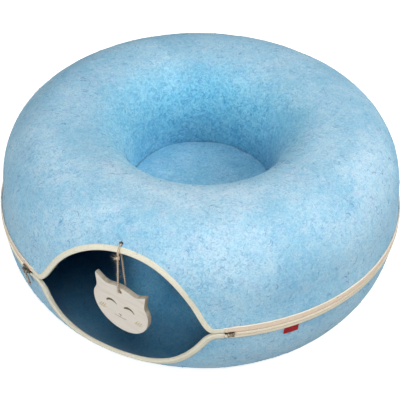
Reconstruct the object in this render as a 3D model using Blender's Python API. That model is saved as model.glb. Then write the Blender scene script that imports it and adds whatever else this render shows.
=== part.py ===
"""Felt donut cat tunnel: a ring bed of two moulded felt halves that zip together.

Metres, +Z up, origin on the floor at the centre of the ring. An azimuth is an angle
round the ring, measured from -Y and growing towards +X. The entrance, with a wooden
cat face hanging in it, is left of -Y.
"""
import math

import bmesh
import bpy
from mathutils import Matrix, Vector

MM = 0.001
FULL_TURN = 2.0 * math.pi
FACETS = 54
FACET = FULL_TURN / FACETS
OVERRUN = 4.0 * MM
MERGE = 0.01 * MM
CUTTER_LAP = 0.4 * MM

# Moulded felt halves
FELT = 3.6 * MM
RING_RADIUS = 248.5 * MM
SEAM_HEIGHT = 103.5 * MM
DOME_HEIGHT = 116.0 * MM
BAND_HEIGHT = 5.0 * MM
BAND_LEAN = 0.2 * MM
SHOULDER_RISE = 35.0 * MM
SHOULDER_LEAN = 4.5 * MM
WELL_RADIUS = 88.8 * MM
WELL_CURVE_RISE = 15.0 * MM
CROWN_SHARE = 0.54
DOME_FULLNESS = 2.1
WELL_FULLNESS = 2.8
HAUNCH_DROP = 13.0 * MM
HAUNCH_LEAN = 1.8 * MM
BOWL_FULLNESS = 1.9
FOOT_WIDTH = 22.0 * MM
BOSS_FULLNESS = 2.6
BOSS_CURVE_DROP = 22.0 * MM
BOSS_SHOULDER = 2.5 * MM
DOME_STEPS = 8
WELL_STEPS = 5
BOWL_STEPS = 7
BOSS_STEPS = 4

# Entrance, cut across the seam
ENTRANCE_AZIMUTH = math.radians(-21.8)
ENTRANCE_HALF_WIDTH = 111.5 * MM
ARCH_SHARE = 0.74
ARCH_CROWN_SHARE = 0.768
ARCH_CORNER_REACH = 20.8 * MM
ARCH_CORNER_ANGLE = math.radians(8.0)
ARCH_SKEW = 4.2 * MM
DIP_SHARE = 0.761
DIP_CROWN_SHARE = 0.734
DIP_CORNER_REACH = 24.8 * MM
DIP_CORNER_ANGLE = math.radians(38.4)
DIP_SKEW = -4.0 * MM
CORNER_FILLET = 9.0 * MM
LEFT_LAND = 13.0 * MM
RIGHT_LAND = 13.5 * MM
LAND_GAP = 1.7 * MM
ARCH_STEPS = 22
FILLET_STEPS = 3

# Cotton binding folded over the entrance's raw edges
BINDING = 0.7 * MM
BINDING_GAP = 0.45 * MM
BINDING_COVER = 6.0 * MM
BINDING_ROUND = 0.5 * MM
BINDING_END_GAP = 0.4 * MM

# Zip chain, sliders and ends, alike on the outer and the centre zip
HEM_RELIEF = 4.6 * MM
TAPE = 0.8 * MM
TAPE_GAP = 0.35 * MM
TAPE_EDGE = 1.95 * MM
OUTER_UPPER_TAPE = 7.5 * MM
OUTER_LOWER_TAPE = 5.3 * MM
CENTRE_TAPE = 12.0 * MM
TOOTH_REACH = 1.65 * MM
TOOTH_GAP = 0.15 * MM
TOOTH_THICKNESS = 2.2 * MM
ROW_END_GAP = 0.6 * MM
SLIDER_LENGTH = 11.0 * MM
SLIDER_MOUTH = 8.4 * MM
SLIDER_TAIL = 7.0 * MM
SLIDER_PLATE = 1.0 * MM
CHANNEL_CLEARANCE = 0.55 * MM
CHANNEL_SIDE = 0.4 * MM
MOUTH_WALL = 0.4 * MM
SLOT_CLEARANCE = 0.55 * MM
SLOT_START = 1.7 * MM
WEDGE_HALF_WIDTH = 1.5 * MM
WEDGE_TIP = 1.0 * MM
BRIDGE_HALF_LENGTH = 2.8 * MM
BRIDGE_FOOT = 1.0 * MM
BRIDGE_HALF_WIDTH = 0.6 * MM
BRIDGE_OPENING = 1.9 * MM
BRIDGE_BAR = 1.0 * MM
PULL_THICKNESS = 1.1 * MM
PULL_BAR = 1.0 * MM
PULL_EYE_LENGTH = 3.9 * MM
PULL_EYE_HALF_WIDTH = 2.9 * MM
PULL_EYE_WALL = 0.9 * MM
PULL_LENGTH = 20.0 * MM
PULL_HALF_WIDTH = 3.0 * MM
PULL_NECK_SHARE = 0.5
PULL_CORNER = 1.0 * MM
PULL_SLOT_RADIUS = 1.4 * MM
PULL_DROOP = math.radians(52.0)
PULL_STEPS = 8
STOP_LENGTH = 2.4 * MM
STOP_HALF_DEPTH = 1.3 * MM
STOP_TOP = 3.2 * MM
STOP_BOTTOM = 1.0 * MM
STOP_FLOOR = 1.65 * MM
STOP_MARGIN = 1.2 * MM
STOP_ROOM = 0.5 * MM
CRIMP_GAP = 0.3 * MM
BOX_LENGTH = 8.0 * MM
BOX_MARGIN = 0.5 * MM
BOX_HALF_DEPTH = 2.3 * MM
BOX_TOP = 2.0 * MM
BOX_BOTTOM = 3.4 * MM
BOX_FLOOR = 0.15 * MM
PIN_HALF_DEPTH = 1.15 * MM
PIN_BOTTOM = 0.15 * MM
PIN_SHORTER = 0.6 * MM
ZIP_LAND_GAP = 2.0 * MM

# Hidden zip that joins the well wall to the raised middle of the bowl
CENTRE_ZIP_RISE = 5.5 * MM
CENTRE_ZIP_START = math.radians(186.0)
CENTRE_ZIP_SWEEP = math.radians(348.0)

# Loose round pad in the well
PAD_CLEARANCE = 1.2 * MM
PAD_RADIUS = WELL_RADIUS - PAD_CLEARANCE
PAD_EDGE = 11.5 * MM
PAD_CROWN = 2.3 * MM
PAD_ROUND = 4.0 * MM
REST_GAP = 0.3 * MM

# Plain woven side label, sewn in under the zip
LABEL_AZIMUTH = math.radians(25.0)
LABEL_WIDTH = 18.0 * MM
LABEL_LENGTH = 10.5 * MM
LABEL_THICKNESS = 0.8 * MM

# Wooden cat face
TOY_THICKNESS = 7.0 * MM
TOY_HALF_WIDTH = 38.8 * MM
TOY_HEIGHT = 68.4 * MM
TOY_HOLE_RADIUS = 2.4 * MM
TOY_INSET = 17.0 * MM
TOY_RING_RADIUS = RING_RADIUS - TOY_INSET
TOY_RISE = 28.0 * MM
TOY_HANG_HEIGHT = SEAM_HEIGHT + TOY_RISE
TOY_FACING = math.radians(-35.3)
TOY_EDGE_ROUND = 0.8 * MM
TOY_STEPS = 5

# Jute twine, from the felt's eyelet hole down to the toy
TWINE_RADIUS = 1.0 * MM
TWINE_CLEARANCE = 0.4 * MM
EYELET_RADIUS = 2.3 * MM
EYELET_ABOVE_ARCH = 7.6 * MM
TWINE_SPACING = 2.4 * MM
KNOT_RADIUS = 2.4 * MM
KNOT_DROP = 7.0 * MM
KNOT_RINGS = 8

# Half of the toy's outline, as cubic curves of four points: shares of the half width
# across and of the height up, from the hanging hole
TOY_CURVE_SHARES = (
    ((0.000, 0.091), (0.232, 0.091), (0.438, 0.038), (0.541, 0.047)),
    ((0.541, 0.047), (0.644, 0.056), (0.773, 0.110), (0.910, 0.152)),
    ((0.910, 0.152), (0.907, 0.058), (0.866, -0.029), (0.874, -0.088)),
    ((0.874, -0.088), (0.892, -0.175), (0.995, -0.205), (1.000, -0.322)),
    ((1.000, -0.322), (1.010, -0.614), (0.567, -0.848), (0.000, -0.848)),
)


def felt_material(name, colour):
    """A matt felt, cloth or wood finish."""
    return finish(name, colour, 0.95, 0.0)


def finish(name, colour, roughness, metallic):
    """One Principled BSDF material."""
    material = bpy.data.materials.new(name)
    material.use_nodes = True
    shader = material.node_tree.nodes["Principled BSDF"]
    shader.inputs["Base Color"].default_value = (*colour, 1.0)
    shader.inputs["Roughness"].default_value = roughness
    shader.inputs["Metallic"].default_value = metallic
    return material


def new_object(name, bm, material, smooth_angle=math.radians(35.0)):
    """A named object from a bmesh, with its faces turned outwards."""
    bmesh.ops.recalc_face_normals(bm, faces=bm.faces)
    mesh = bpy.data.meshes.new(name)
    bm.to_mesh(mesh)
    bm.free()
    mesh.shade_smooth()
    mesh.set_sharp_from_angle(angle=smooth_angle)
    item = bpy.data.objects.new(name, mesh)
    bpy.context.scene.collection.objects.link(item)
    if material:
        mesh.materials.append(material)
    return item


def as_cutter(item):
    """Leave a helper shape out of the model."""
    item.hide_render = True
    item.display_type = "WIRE"
    return item


def cut(item, cutter, operation="DIFFERENCE"):
    """Cut one object with another, or join them."""
    modifier = item.modifiers.new(cutter.name, "BOOLEAN")
    modifier.operation = operation
    modifier.solver = "EXACT"
    modifier.object = as_cutter(cutter)


def place(azimuth, radius, height):
    """A point on the faceted ring, so that every layer has the same flats."""
    offset = azimuth % FACET - FACET / 2.0
    reach = radius * math.cos(FACET / 2.0) / math.cos(offset)
    return Vector((reach * math.sin(azimuth), -reach * math.cos(azimuth), height))


def quarter(start, end, fullness, steps):
    """A quarter superellipse that leaves start upright and meets end level."""
    points = []
    for step in range(steps + 1):
        angle = math.pi / 2.0 * step / steps
        across = math.cos(angle) ** (2.0 / fullness) if step < steps else 0.0
        along = math.sin(angle) ** (2.0 / fullness)
        radius = end[0] + (start[0] - end[0]) * across
        points.append((radius, start[1] + (end[1] - start[1]) * along))
    return points


def offset_line(points, distance):
    """Move an open outline sideways, to its left where distance is positive."""
    moved = []
    for index, point in enumerate(points):
        before = points[max(index - 1, 0)]
        after = points[min(index + 1, len(points) - 1)]
        normals = []
        for first, second in ((before, point), (point, after)):
            run = Vector((second[0] - first[0], second[1] - first[1]))
            if run.length > 0.0:
                run.normalize()
                normals.append(Vector((-run.y, run.x)))
        middle = normals[0] + normals[-1]
        middle.normalize()
        reach = distance / middle.dot(normals[0])
        if index == 0:
            middle, reach = Vector((math.copysign(1.0, middle.x), 0.0)), distance
        on_axis = point[0] == 0.0
        radius = 0.0 if on_axis else point[0] + middle.x * reach
        moved.append((radius, point[1] + middle.y * reach))
    return moved


def interpolate(points, height):
    """Radius and outward normal of an outer skin at one height."""
    rising = points[-1][1] > points[0][1]
    ordered = points if rising else points[::-1]
    index = 0
    while index < len(ordered) - 2 and ordered[index + 1][1] < height:
        index += 1
    low, high = ordered[index], ordered[index + 1]
    share = (height - low[1]) / (high[1] - low[1])
    radius = low[0] + (high[0] - low[0]) * share
    level = (low[0], high[0])
    before = ordered[index - 1] if index > 0 else (level[1], low[1] * 2.0 - high[1])
    after = (level[0], high[1] * 2.0 - low[1])
    if index + 2 < len(ordered):
        after = ordered[index + 2]
    tangents = []
    for first, second in ((before, high), (low, after)):
        run = Vector((second[0] - first[0], second[1] - first[1]))
        tangents.append(run.normalized())
    tangent = tangents[0].lerp(tangents[1], share).normalized()
    return radius, Vector((tangent.y, -tangent.x))


def upper_skin():
    """Outer face of the upper half: seam, dome, crown and well."""
    seam = (RING_RADIUS, SEAM_HEIGHT)
    shoulder = (RING_RADIUS - SHOULDER_LEAN, SEAM_HEIGHT + SHOULDER_RISE)
    crown_radius = WELL_RADIUS + (RING_RADIUS - WELL_RADIUS) * CROWN_SHARE
    crown = (crown_radius, SEAM_HEIGHT + DOME_HEIGHT)
    well = (WELL_RADIUS, SEAM_HEIGHT + WELL_CURVE_RISE)
    band = (RING_RADIUS - BAND_LEAN, SEAM_HEIGHT + BAND_HEIGHT)
    dome = [seam, band] + quarter(shoulder, crown, DOME_FULLNESS, DOME_STEPS)
    inside = quarter(well, crown, WELL_FULLNESS, WELL_STEPS)[::-1]
    return dome, inside[1:]


def lower_skin():
    """Under face of the lower half: seam, side, foot and the hollow middle."""
    seam = (RING_RADIUS, SEAM_HEIGHT)
    haunch = (RING_RADIUS - HAUNCH_LEAN, SEAM_HEIGHT - HAUNCH_DROP)
    foot_radius = WELL_RADIUS + (RING_RADIUS - WELL_RADIUS) * CROWN_SHARE
    foot_outer = (foot_radius + FOOT_WIDTH / 2.0, 0.0)
    foot_inner = (foot_radius - FOOT_WIDTH / 2.0, 0.0)
    plateau = boss_height() - FELT
    neck = (WELL_RADIUS, plateau - BOSS_CURVE_DROP)
    band = (RING_RADIUS - BAND_LEAN, SEAM_HEIGHT - BAND_HEIGHT)
    side = [seam, band] + quarter(haunch, foot_outer, BOWL_FULLNESS, BOWL_STEPS)
    rise = quarter(neck, foot_inner, BOSS_FULLNESS, BOSS_STEPS)[::-1]
    top = [
        (WELL_RADIUS, plateau - BOSS_SHOULDER),
        (WELL_RADIUS - BOSS_SHOULDER, plateau),
        (0.0, plateau),
    ]
    return side, rise + top


def centre_zip_height():
    """Height of the hidden zip's teeth."""
    return SEAM_HEIGHT + CENTRE_ZIP_RISE


def boss_height():
    """Top face of the bowl's raised middle, under the pad."""
    return centre_zip_height() - HEM_RELIEF


def trim_hem(side, height):
    """Start a skin at its hem instead of at the seam."""
    radius, _ = interpolate(side, height)
    return [(radius, height)] + side[1:]


def turned(name, outline, material):
    """Spin a closed outline of radius and height once round the Z axis."""
    bm = bmesh.new()
    verts = [bm.verts.new((0.0, -radius, height)) for radius, height in outline]
    pairs = zip(verts, verts[1:] + verts[:1])
    on_axis = [point[0] == 0.0 for point in outline]
    closing = list(zip(on_axis, on_axis[1:] + on_axis[:1]))
    edges = [bm.edges.new(pair) for pair, ends in zip(pairs, closing) if not all(ends)]
    bmesh.ops.spin(
        bm,
        geom=edges,
        cent=(0.0, 0.0, 0.0),
        axis=(0.0, 0.0, 1.0),
        angle=FULL_TURN,
        steps=FACETS,
        use_merge=False,
    )
    bmesh.ops.remove_doubles(bm, verts=bm.verts, dist=MERGE)
    return new_object(name, bm, material)


def ring_azimuths(start, end):
    """Azimuths from start to end, with one at each flat's edge between."""
    azimuths = [start]
    index = math.floor(start / FACET) + 1
    while index * FACET < end:
        if index * FACET - azimuths[-1] > FACET / FACETS:
            azimuths.append(index * FACET)
        index += 1
    if end - azimuths[-1] < FACET / FACETS:
        azimuths.pop()
    return azimuths + [end]


def loft(name, sections, material):
    """Skin a row of sections that have as many points each, and cap both ends."""
    bm = bmesh.new()
    rings = [[bm.verts.new(point) for point in section] for section in sections]
    for ring, following in zip(rings, rings[1:]):
        for index in range(len(ring)):
            other = (index + 1) % len(ring)
            corners = (ring[index], ring[other], following[other], following[index])
            bm.faces.new(corners)
    bm.faces.new(rings[0])
    bm.faces.new(rings[-1])
    return new_object(name, bm, material)


def ring_part(name, outline, start, end, material):
    """Sweep an outline of radius and height part of the way round the ring."""
    sections = []
    for azimuth in ring_azimuths(start, end):
        sections.append([place(azimuth, radius, height) for radius, height in outline])
    return loft(name, sections, material)


def prism(name, outline, depth, material, axes=(0, 2, 1)):
    """Extrude a flat outline both ways; axes give where across, up and depth go."""
    bm = bmesh.new()
    rings = []
    for side in (-depth, depth):
        ring = []
        for across, up in outline:
            point = [0.0, 0.0, 0.0]
            point[axes[0]], point[axes[1]], point[axes[2]] = across, up, side
            ring.append(bm.verts.new(point))
        rings.append(ring)
    for index in range(len(outline)):
        other = (index + 1) % len(outline)
        corners = (rings[0][index], rings[0][other], rings[1][other], rings[1][index])
        bm.faces.new(corners)
    bm.faces.new(rings[0])
    bm.faces.new(rings[1])
    return new_object(name, bm, material)


def cylinder(name, radius, half_length, sides=16):
    """A plain cutter along its own Y axis."""
    outline = []
    for side in range(sides):
        angle = FULL_TURN * side / sides
        outline.append((radius * math.cos(angle), radius * math.sin(angle)))
    return prism(name, outline, half_length, None)


def cubic(points, share):
    """A point on a cubic curve."""
    left = 1.0 - share
    weights = (left**3, 3.0 * left**2 * share, 3.0 * left * share**2, share**3)
    across = sum(weight * point[0] for weight, point in zip(weights, points))
    up = sum(weight * point[1] for weight, point in zip(weights, points))
    return across, up


def entrance_half(height, crown_share, reach, angle):
    """Half of the entrance's edge: crown, side and rounded corner, from its middle."""
    corner = (ENTRANCE_HALF_WIDTH, LAND_GAP)
    handle = (corner[0] - reach * math.cos(angle), corner[1] + reach * math.sin(angle))
    crown = (0.0, height)
    shoulder = (ENTRANCE_HALF_WIDTH * crown_share, height)
    points = []
    for step in range(ARCH_STEPS + 1):
        point = cubic((crown, shoulder, handle, corner), step / (ARCH_STEPS + 1))
        if math.dist(point, corner) > CORNER_FILLET:
            points.append(point)
    start = Vector(corner) + (Vector(handle) - Vector(corner)).normalized() * CORNER_FILLET
    end = Vector((corner[0] + CORNER_FILLET, corner[1]))
    for step in range(FILLET_STEPS + 1):
        share = step / FILLET_STEPS
        first = start.lerp(Vector(corner), share)
        second = Vector(corner).lerp(end, share)
        points.append(tuple(first.lerp(second, share)))
    return points


def entrance_edge(upper, cover=0.0):
    """The felt's cut edge across the entrance: arc from the middle, and height."""
    if upper:
        sizes, skew = (DOME_HEIGHT * ARCH_SHARE, ARCH_CROWN_SHARE), ARCH_SKEW
        half = entrance_half(*sizes, ARCH_CORNER_REACH, ARCH_CORNER_ANGLE)
    else:
        sizes, skew = (SEAM_HEIGHT * DIP_SHARE, DIP_CROWN_SHARE), DIP_SKEW
        half = entrance_half(*sizes, DIP_CORNER_REACH, DIP_CORNER_ANGLE)
    left = [(-arc, rise) for arc, rise in half[:0:-1]]
    left_end = (-(ENTRANCE_HALF_WIDTH + LEFT_LAND + cover), LAND_GAP)
    right_end = (ENTRANCE_HALF_WIDTH + RIGHT_LAND + cover, LAND_GAP)
    sign = 1.0 if upper else -1.0
    points = [left_end]
    for arc, rise in left + half:
        share = min(abs(arc) / ENTRANCE_HALF_WIDTH, 1.0)
        points.append((arc + skew * (1.0 - share**2), rise))
    points.append(right_end)
    return [(arc, SEAM_HEIGHT + sign * rise) for arc, rise in points]


def entrance_azimuth(arc):
    """Azimuth of a point that lies an arc away from the entrance's middle."""
    return ENTRANCE_AZIMUTH + arc / RING_RADIUS


def entrance_cutter(name, side, upper):
    """The block that cuts one half's share of the entrance, square to the skin."""
    sections = []
    beyond = SEAM_HEIGHT - OVERRUN if upper else SEAM_HEIGHT + OVERRUN
    for arc, height in entrance_edge(upper):
        azimuth = entrance_azimuth(arc)
        radius, normal = interpolate(side, height)
        section = []
        for reach in (2.0 * OVERRUN, -FELT - OVERRUN):
            far = Vector((radius, height)) + normal * reach
            section.append((far.x, far.y))
        outside = RING_RADIUS + 3.0 * OVERRUN
        section += [(section[1][0], beyond), (outside, beyond), (outside, section[0][1])]
        ring = [
            Vector((far * math.sin(azimuth), -far * math.cos(azimuth), up))
            for far, up in section
        ]
        sections.append(ring)
    return loft(name, sections, None)


def relief_cutter(name, upper):
    """The ring that trims a felt hem back where the outer zip's slider runs."""
    near, far = SEAM_HEIGHT - OVERRUN, SEAM_HEIGHT + HEM_RELIEF
    if not upper:
        near, far = SEAM_HEIGHT - HEM_RELIEF, SEAM_HEIGHT + OVERRUN
    inner, outer = RING_RADIUS - FELT - OVERRUN, RING_RADIUS + OVERRUN
    outline = [(inner, near), (outer, near), (outer, far), (inner, far)]
    start, end = land_azimuths()
    lap = CUTTER_LAP / RING_RADIUS
    return ring_part(name, outline, start - lap, end + lap, None)


def land_azimuths():
    """Where the binding ends: at the right of the entrance, and round at its left."""
    right = entrance_azimuth(ENTRANCE_HALF_WIDTH + RIGHT_LAND)
    left = entrance_azimuth(-(ENTRANCE_HALF_WIDTH + LEFT_LAND))
    return right, left + FULL_TURN


def eyelet():
    """The twine's hole in the upper half: height, radius and normal."""
    height = SEAM_HEIGHT + DOME_HEIGHT * ARCH_SHARE + EYELET_ABOVE_ARCH
    radius, normal = interpolate(upper_skin()[0], height)
    return height, radius, normal


def binding_section(side, arc, height, along, upper):
    """One cross-section of the binding, folded over the felt's edge."""
    azimuth = entrance_azimuth(arc)
    radius, normal = interpolate(side, height)
    outward = Vector((math.sin(azimuth), -math.cos(azimuth), 0.0))
    base = outward * radius + Vector((0.0, 0.0, height))
    face = outward * normal.x + Vector((0.0, 0.0, normal.y))
    into = face.cross(along).normalized()
    if not upper:
        into.negate()
    fold = -(BINDING_GAP + BINDING)
    outer = BINDING_GAP + BINDING
    inner = -(FELT + BINDING_GAP + BINDING)
    shape = (
        (BINDING_COVER, outer),
        (0.0, outer),
        (fold + BINDING_ROUND, outer - BINDING_ROUND),
        (fold, outer - BINDING_ROUND - BINDING),
        (fold, inner + BINDING_ROUND + BINDING),
        (fold + BINDING_ROUND, inner + BINDING_ROUND),
        (0.0, inner),
        (BINDING_COVER, inner),
        (BINDING_COVER, inner + BINDING),
        (-BINDING_GAP, inner + BINDING),
        (-BINDING_GAP, BINDING_GAP),
        (BINDING_COVER, BINDING_GAP),
    )
    section = []
    for distance, lift in shape:
        spot = base + into * distance
        spot_azimuth = math.atan2(spot.x, -spot.y)
        spot_radius, spot_normal = interpolate(side, spot.z)
        far = spot_radius + spot_normal.x * lift
        section.append(place(spot_azimuth, far, spot.z + spot_normal.y * lift))
    return section


def entrance_binding(name, side, upper, material):
    """Cloth folded over one half's cut edge, from land to land."""
    edge = entrance_edge(upper, cover=-BINDING_END_GAP)
    points = []
    for arc, height in edge:
        azimuth = entrance_azimuth(arc)
        radius, _ = interpolate(side, height)
        points.append(
            Vector((radius * math.sin(azimuth), -radius * math.cos(azimuth), height))
        )
    sections = []
    for index, (arc, height) in enumerate(edge):
        before = points[max(index - 1, 0)]
        after = points[min(index + 1, len(points) - 1)]
        along = (after - before).normalized()
        sections.append(binding_section(side, arc, height, along, upper))
    return loft(name, sections, material)


def strip_outline(side, low, high, near, far, middle=()):
    """Outline of a layer that lies on a skin between two heights."""
    inner, outer = [], []
    for height in (low, *middle, high):
        radius, normal = interpolate(side, height)
        inner.append((radius + normal.x * near, height))
        outer.append((radius + normal.x * far, height))
    return inner + outer[::-1]


def seat(item, azimuth, radius, height, length):
    """Seat a piece built at zero on the ring's flats, with its origin on the axis."""
    reach = length / 2.0 / radius
    before = place(azimuth - reach, radius, 0.0)
    after = place(azimuth + reach, radius, 0.0)
    run = before - after
    turn = math.atan2(run.y, run.x)
    middle = (before + after) / 4.0 + place(azimuth, radius, 0.0) / 2.0
    shift = Matrix.Rotation(-turn, 4, "Z") @ middle
    item.data.transform(Matrix.Translation(shift))
    item.rotation_euler = (0.0, 0.0, turn)
    item.location = (0.0, 0.0, height)
    return turn, shift


def slider(name, material):
    """Zip slider: two plates on a wedge, with side slots and a bridge for the pull."""
    half = SLIDER_LENGTH / 2.0
    inside = TOOTH_THICKNESS / 2.0 + CHANNEL_CLEARANCE
    face = inside + SLIDER_PLATE
    mouth, tail = SLIDER_MOUTH / 2.0, SLIDER_TAIL / 2.0
    corner = SLIDER_PLATE
    plan = [
        (-half + corner, -mouth),
        (0.0, -mouth),
        (half - corner, -tail),
        (half, -tail + corner),
        (half, tail - corner),
        (half - corner, tail),
        (0.0, mouth),
        (-half + corner, mouth),
        (-half, mouth - corner),
        (-half, -mouth + corner),
    ]
    body = prism(name, plan, face, material)
    arch = [
        (-BRIDGE_HALF_LENGTH, face - SLIDER_PLATE / 2.0),
        (-BRIDGE_HALF_LENGTH + BRIDGE_FOOT, face - SLIDER_PLATE / 2.0),
        (-BRIDGE_HALF_LENGTH + BRIDGE_FOOT, face + BRIDGE_OPENING),
        (BRIDGE_HALF_LENGTH - BRIDGE_FOOT, face + BRIDGE_OPENING),
        (BRIDGE_HALF_LENGTH - BRIDGE_FOOT, face - SLIDER_PLATE / 2.0),
        (BRIDGE_HALF_LENGTH, face - SLIDER_PLATE / 2.0),
        (BRIDGE_HALF_LENGTH, face + BRIDGE_OPENING),
        (BRIDGE_HALF_LENGTH - BRIDGE_BAR, face + BRIDGE_OPENING + BRIDGE_BAR),
        (-BRIDGE_HALF_LENGTH + BRIDGE_BAR, face + BRIDGE_OPENING + BRIDGE_BAR),
        (-BRIDGE_HALF_LENGTH, face + BRIDGE_OPENING),
    ]
    bridge = prism(f"{name}_bridge", arch, BRIDGE_HALF_WIDTH, None, axes=(0, 1, 2))
    cut(body, bridge, "UNION")
    rail = TOOTH_REACH + CHANNEL_SIDE
    flare = mouth - MOUTH_WALL
    channel = [
        (half + OVERRUN, -rail),
        (half + OVERRUN, rail),
        (0.0, rail),
        (-half - OVERRUN, flare + (flare - rail) * OVERRUN / half),
        (-half - OVERRUN, WEDGE_HALF_WIDTH * (half + OVERRUN) / half),
        (-WEDGE_TIP, 0.0),
        (-half - OVERRUN, -WEDGE_HALF_WIDTH * (half + OVERRUN) / half),
        (-half - OVERRUN, -flare - (flare - rail) * OVERRUN / half),
        (0.0, -rail),
    ]
    cut(body, prism(f"{name}_channel", channel, inside, None))
    slot = TAPE / 2.0 + SLOT_CLEARANCE
    for sign in (-1.0, 1.0):
        near, far = sign * SLOT_START, sign * (mouth + OVERRUN)
        side = [
            (-half - OVERRUN, near),
            (half + OVERRUN, near),
            (half + OVERRUN, far),
            (-half - OVERRUN, far),
        ]
        cut(body, prism(f"{name}_slot_{1 if sign > 0.0 else 2}", side, slot, None))
    return body


def pull(name, material):
    """Pull tab: an eye whose bar lies in the bridge, a neck and a slotted blade."""
    bar = PULL_BAR / 2.0
    head = PULL_EYE_HALF_WIDTH + PULL_EYE_WALL
    eye_end = -bar - PULL_EYE_LENGTH
    neck = PULL_HALF_WIDTH * PULL_NECK_SHARE
    blade_end = -PULL_LENGTH + PULL_HALF_WIDTH
    upper = [
        (bar, head - PULL_CORNER),
        (bar - PULL_CORNER, head),
        (eye_end, head),
        (eye_end - PULL_EYE_WALL, head - PULL_CORNER),
        (eye_end - PULL_EYE_WALL - PULL_CORNER, neck),
        (eye_end - PULL_EYE_WALL - 2.0 * PULL_CORNER, neck),
        (eye_end - PULL_EYE_WALL - 4.0 * PULL_CORNER, PULL_HALF_WIDTH),
    ]
    for step in range(PULL_STEPS):
        angle = math.pi / 2.0 * step / PULL_STEPS
        across = blade_end - PULL_HALF_WIDTH * math.sin(angle)
        upper.append((across, PULL_HALF_WIDTH * math.cos(angle)))
    lower = [(across, -up) for across, up in reversed(upper)]
    outline = upper + [(-PULL_LENGTH, 0.0)] + lower
    item = prism(name, outline, PULL_THICKNESS / 2.0, material)
    eye = [
        (-bar, -PULL_EYE_HALF_WIDTH),
        (eye_end, -PULL_EYE_HALF_WIDTH),
        (eye_end, PULL_EYE_HALF_WIDTH),
        (-bar, PULL_EYE_HALF_WIDTH),
    ]
    cut(item, prism(f"{name}_eye", eye, PULL_THICKNESS, None))
    slot = cylinder(f"{name}_slot", PULL_SLOT_RADIUS, PULL_THICKNESS, PULL_STEPS)
    slot.data.transform(Matrix.Translation((blade_end, 0.0, 0.0)))
    cut(item, slot)
    return item


def crimp_outline(bottom, top, floor, half_depth, sign):
    """A metal crimp closed over a tape's edge, in depth and height."""
    slot = TAPE / 2.0 + CRIMP_GAP
    outline = [
        (-half_depth, sign * bottom),
        (half_depth, sign * bottom),
        (half_depth, sign * top),
        (slot, sign * top),
        (slot, sign * floor),
        (-slot, sign * floor),
        (-slot, sign * top),
        (-half_depth, sign * top),
    ]
    return outline


def box_outline():
    """The retainer box: a pocket for the pin above, a crimp on the tape below."""
    slot = TAPE / 2.0 + CRIMP_GAP
    pocket = PIN_HALF_DEPTH + CHANNEL_CLEARANCE
    return [
        (-BOX_HALF_DEPTH, -BOX_BOTTOM),
        (-slot, -BOX_BOTTOM),
        (-slot, -STOP_FLOOR),
        (slot, -STOP_FLOOR),
        (slot, -BOX_BOTTOM),
        (BOX_HALF_DEPTH, -BOX_BOTTOM),
        (BOX_HALF_DEPTH, BOX_TOP),
        (pocket, BOX_TOP),
        (pocket, -BOX_FLOOR),
        (-pocket, -BOX_FLOOR),
        (-pocket, BOX_TOP),
        (-BOX_HALF_DEPTH, BOX_TOP),
    ]


def zip_piece(name, outline, length, azimuth, radius, height, material):
    """A short straight piece of the zip's ends, set square in the ring."""
    item = prism(name, outline, length / 2.0, material, axes=(1, 2, 0))
    seat(item, azimuth, radius, height, length)
    return item


def make_zip(prefix, radius, height, start, end, tapes, materials):
    """One whole zip that closes from start to end, round the ring."""
    cloth, thread, metal = materials
    upper_outline, lower_outline = tapes
    ring_part(f"{prefix}_upper_tape", upper_outline, start, end, cloth)
    ring_part(f"{prefix}_lower_tape", lower_outline, start, end, cloth)
    stop_arc = STOP_MARGIN + STOP_LENGTH / 2.0
    slider_arc = stop_arc + STOP_LENGTH / 2.0 + STOP_ROOM + SLIDER_LENGTH / 2.0
    slider_azimuth = end - slider_arc / radius
    row_start = start + (BOX_MARGIN + BOX_LENGTH + ROW_END_GAP) / radius
    row_end = slider_azimuth + (WEDGE_TIP - ROW_END_GAP) / radius
    half = TOOTH_THICKNESS / 2.0
    for side, sign in (("upper", 1.0), ("lower", -1.0)):
        outline = [
            (radius - half, height + sign * TOOTH_GAP),
            (radius + half, height + sign * TOOTH_GAP),
            (radius + half, height + sign * TOOTH_REACH),
            (radius - half, height + sign * TOOTH_REACH),
        ]
        ring_part(f"{prefix}_{side}_teeth", outline, row_start, row_end, thread)
        crimp = crimp_outline(STOP_BOTTOM, STOP_TOP, STOP_FLOOR, STOP_HALF_DEPTH, sign)
        spot = (end - stop_arc / radius, radius, height, metal)
        zip_piece(f"{prefix}_{side}_stop", crimp, STOP_LENGTH, *spot)
    middle = start + (BOX_MARGIN + BOX_LENGTH / 2.0) / radius
    spot = (middle, radius, height, metal)
    zip_piece(f"{prefix}_retainer_box", box_outline(), BOX_LENGTH, *spot)
    pin = crimp_outline(PIN_BOTTOM, STOP_TOP, STOP_FLOOR, PIN_HALF_DEPTH, 1.0)
    zip_piece(f"{prefix}_insertion_pin", pin, BOX_LENGTH - PIN_SHORTER, *spot)
    body = slider(f"{prefix}_slider", metal)
    for item in [body] + [modifier.object for modifier in body.modifiers]:
        turn, shift = seat(item, slider_azimuth, radius, height, SLIDER_LENGTH)
    add_pull(prefix, turn, shift, height, metal)


def add_pull(prefix, turn, shift, height, metal):
    """Hang the pull in the slider's bridge, drooping from the line of the zip."""
    face = TOOTH_THICKNESS / 2.0 + CHANNEL_CLEARANCE + SLIDER_PLATE
    stand = shift + Vector((0.0, face + BRIDGE_OPENING / 2.0, 0.0))
    item = pull(f"{prefix}_pull", metal)
    around = Matrix.Rotation(turn, 4, "Z")
    droop = Matrix.Rotation(-PULL_DROOP, 4, "Y")
    hinge = around @ stand + Vector((0.0, 0.0, height))
    pose = Matrix.Translation(hinge) @ around @ droop
    for part in [item] + [modifier.object for modifier in item.modifiers]:
        part.matrix_world = pose


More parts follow.
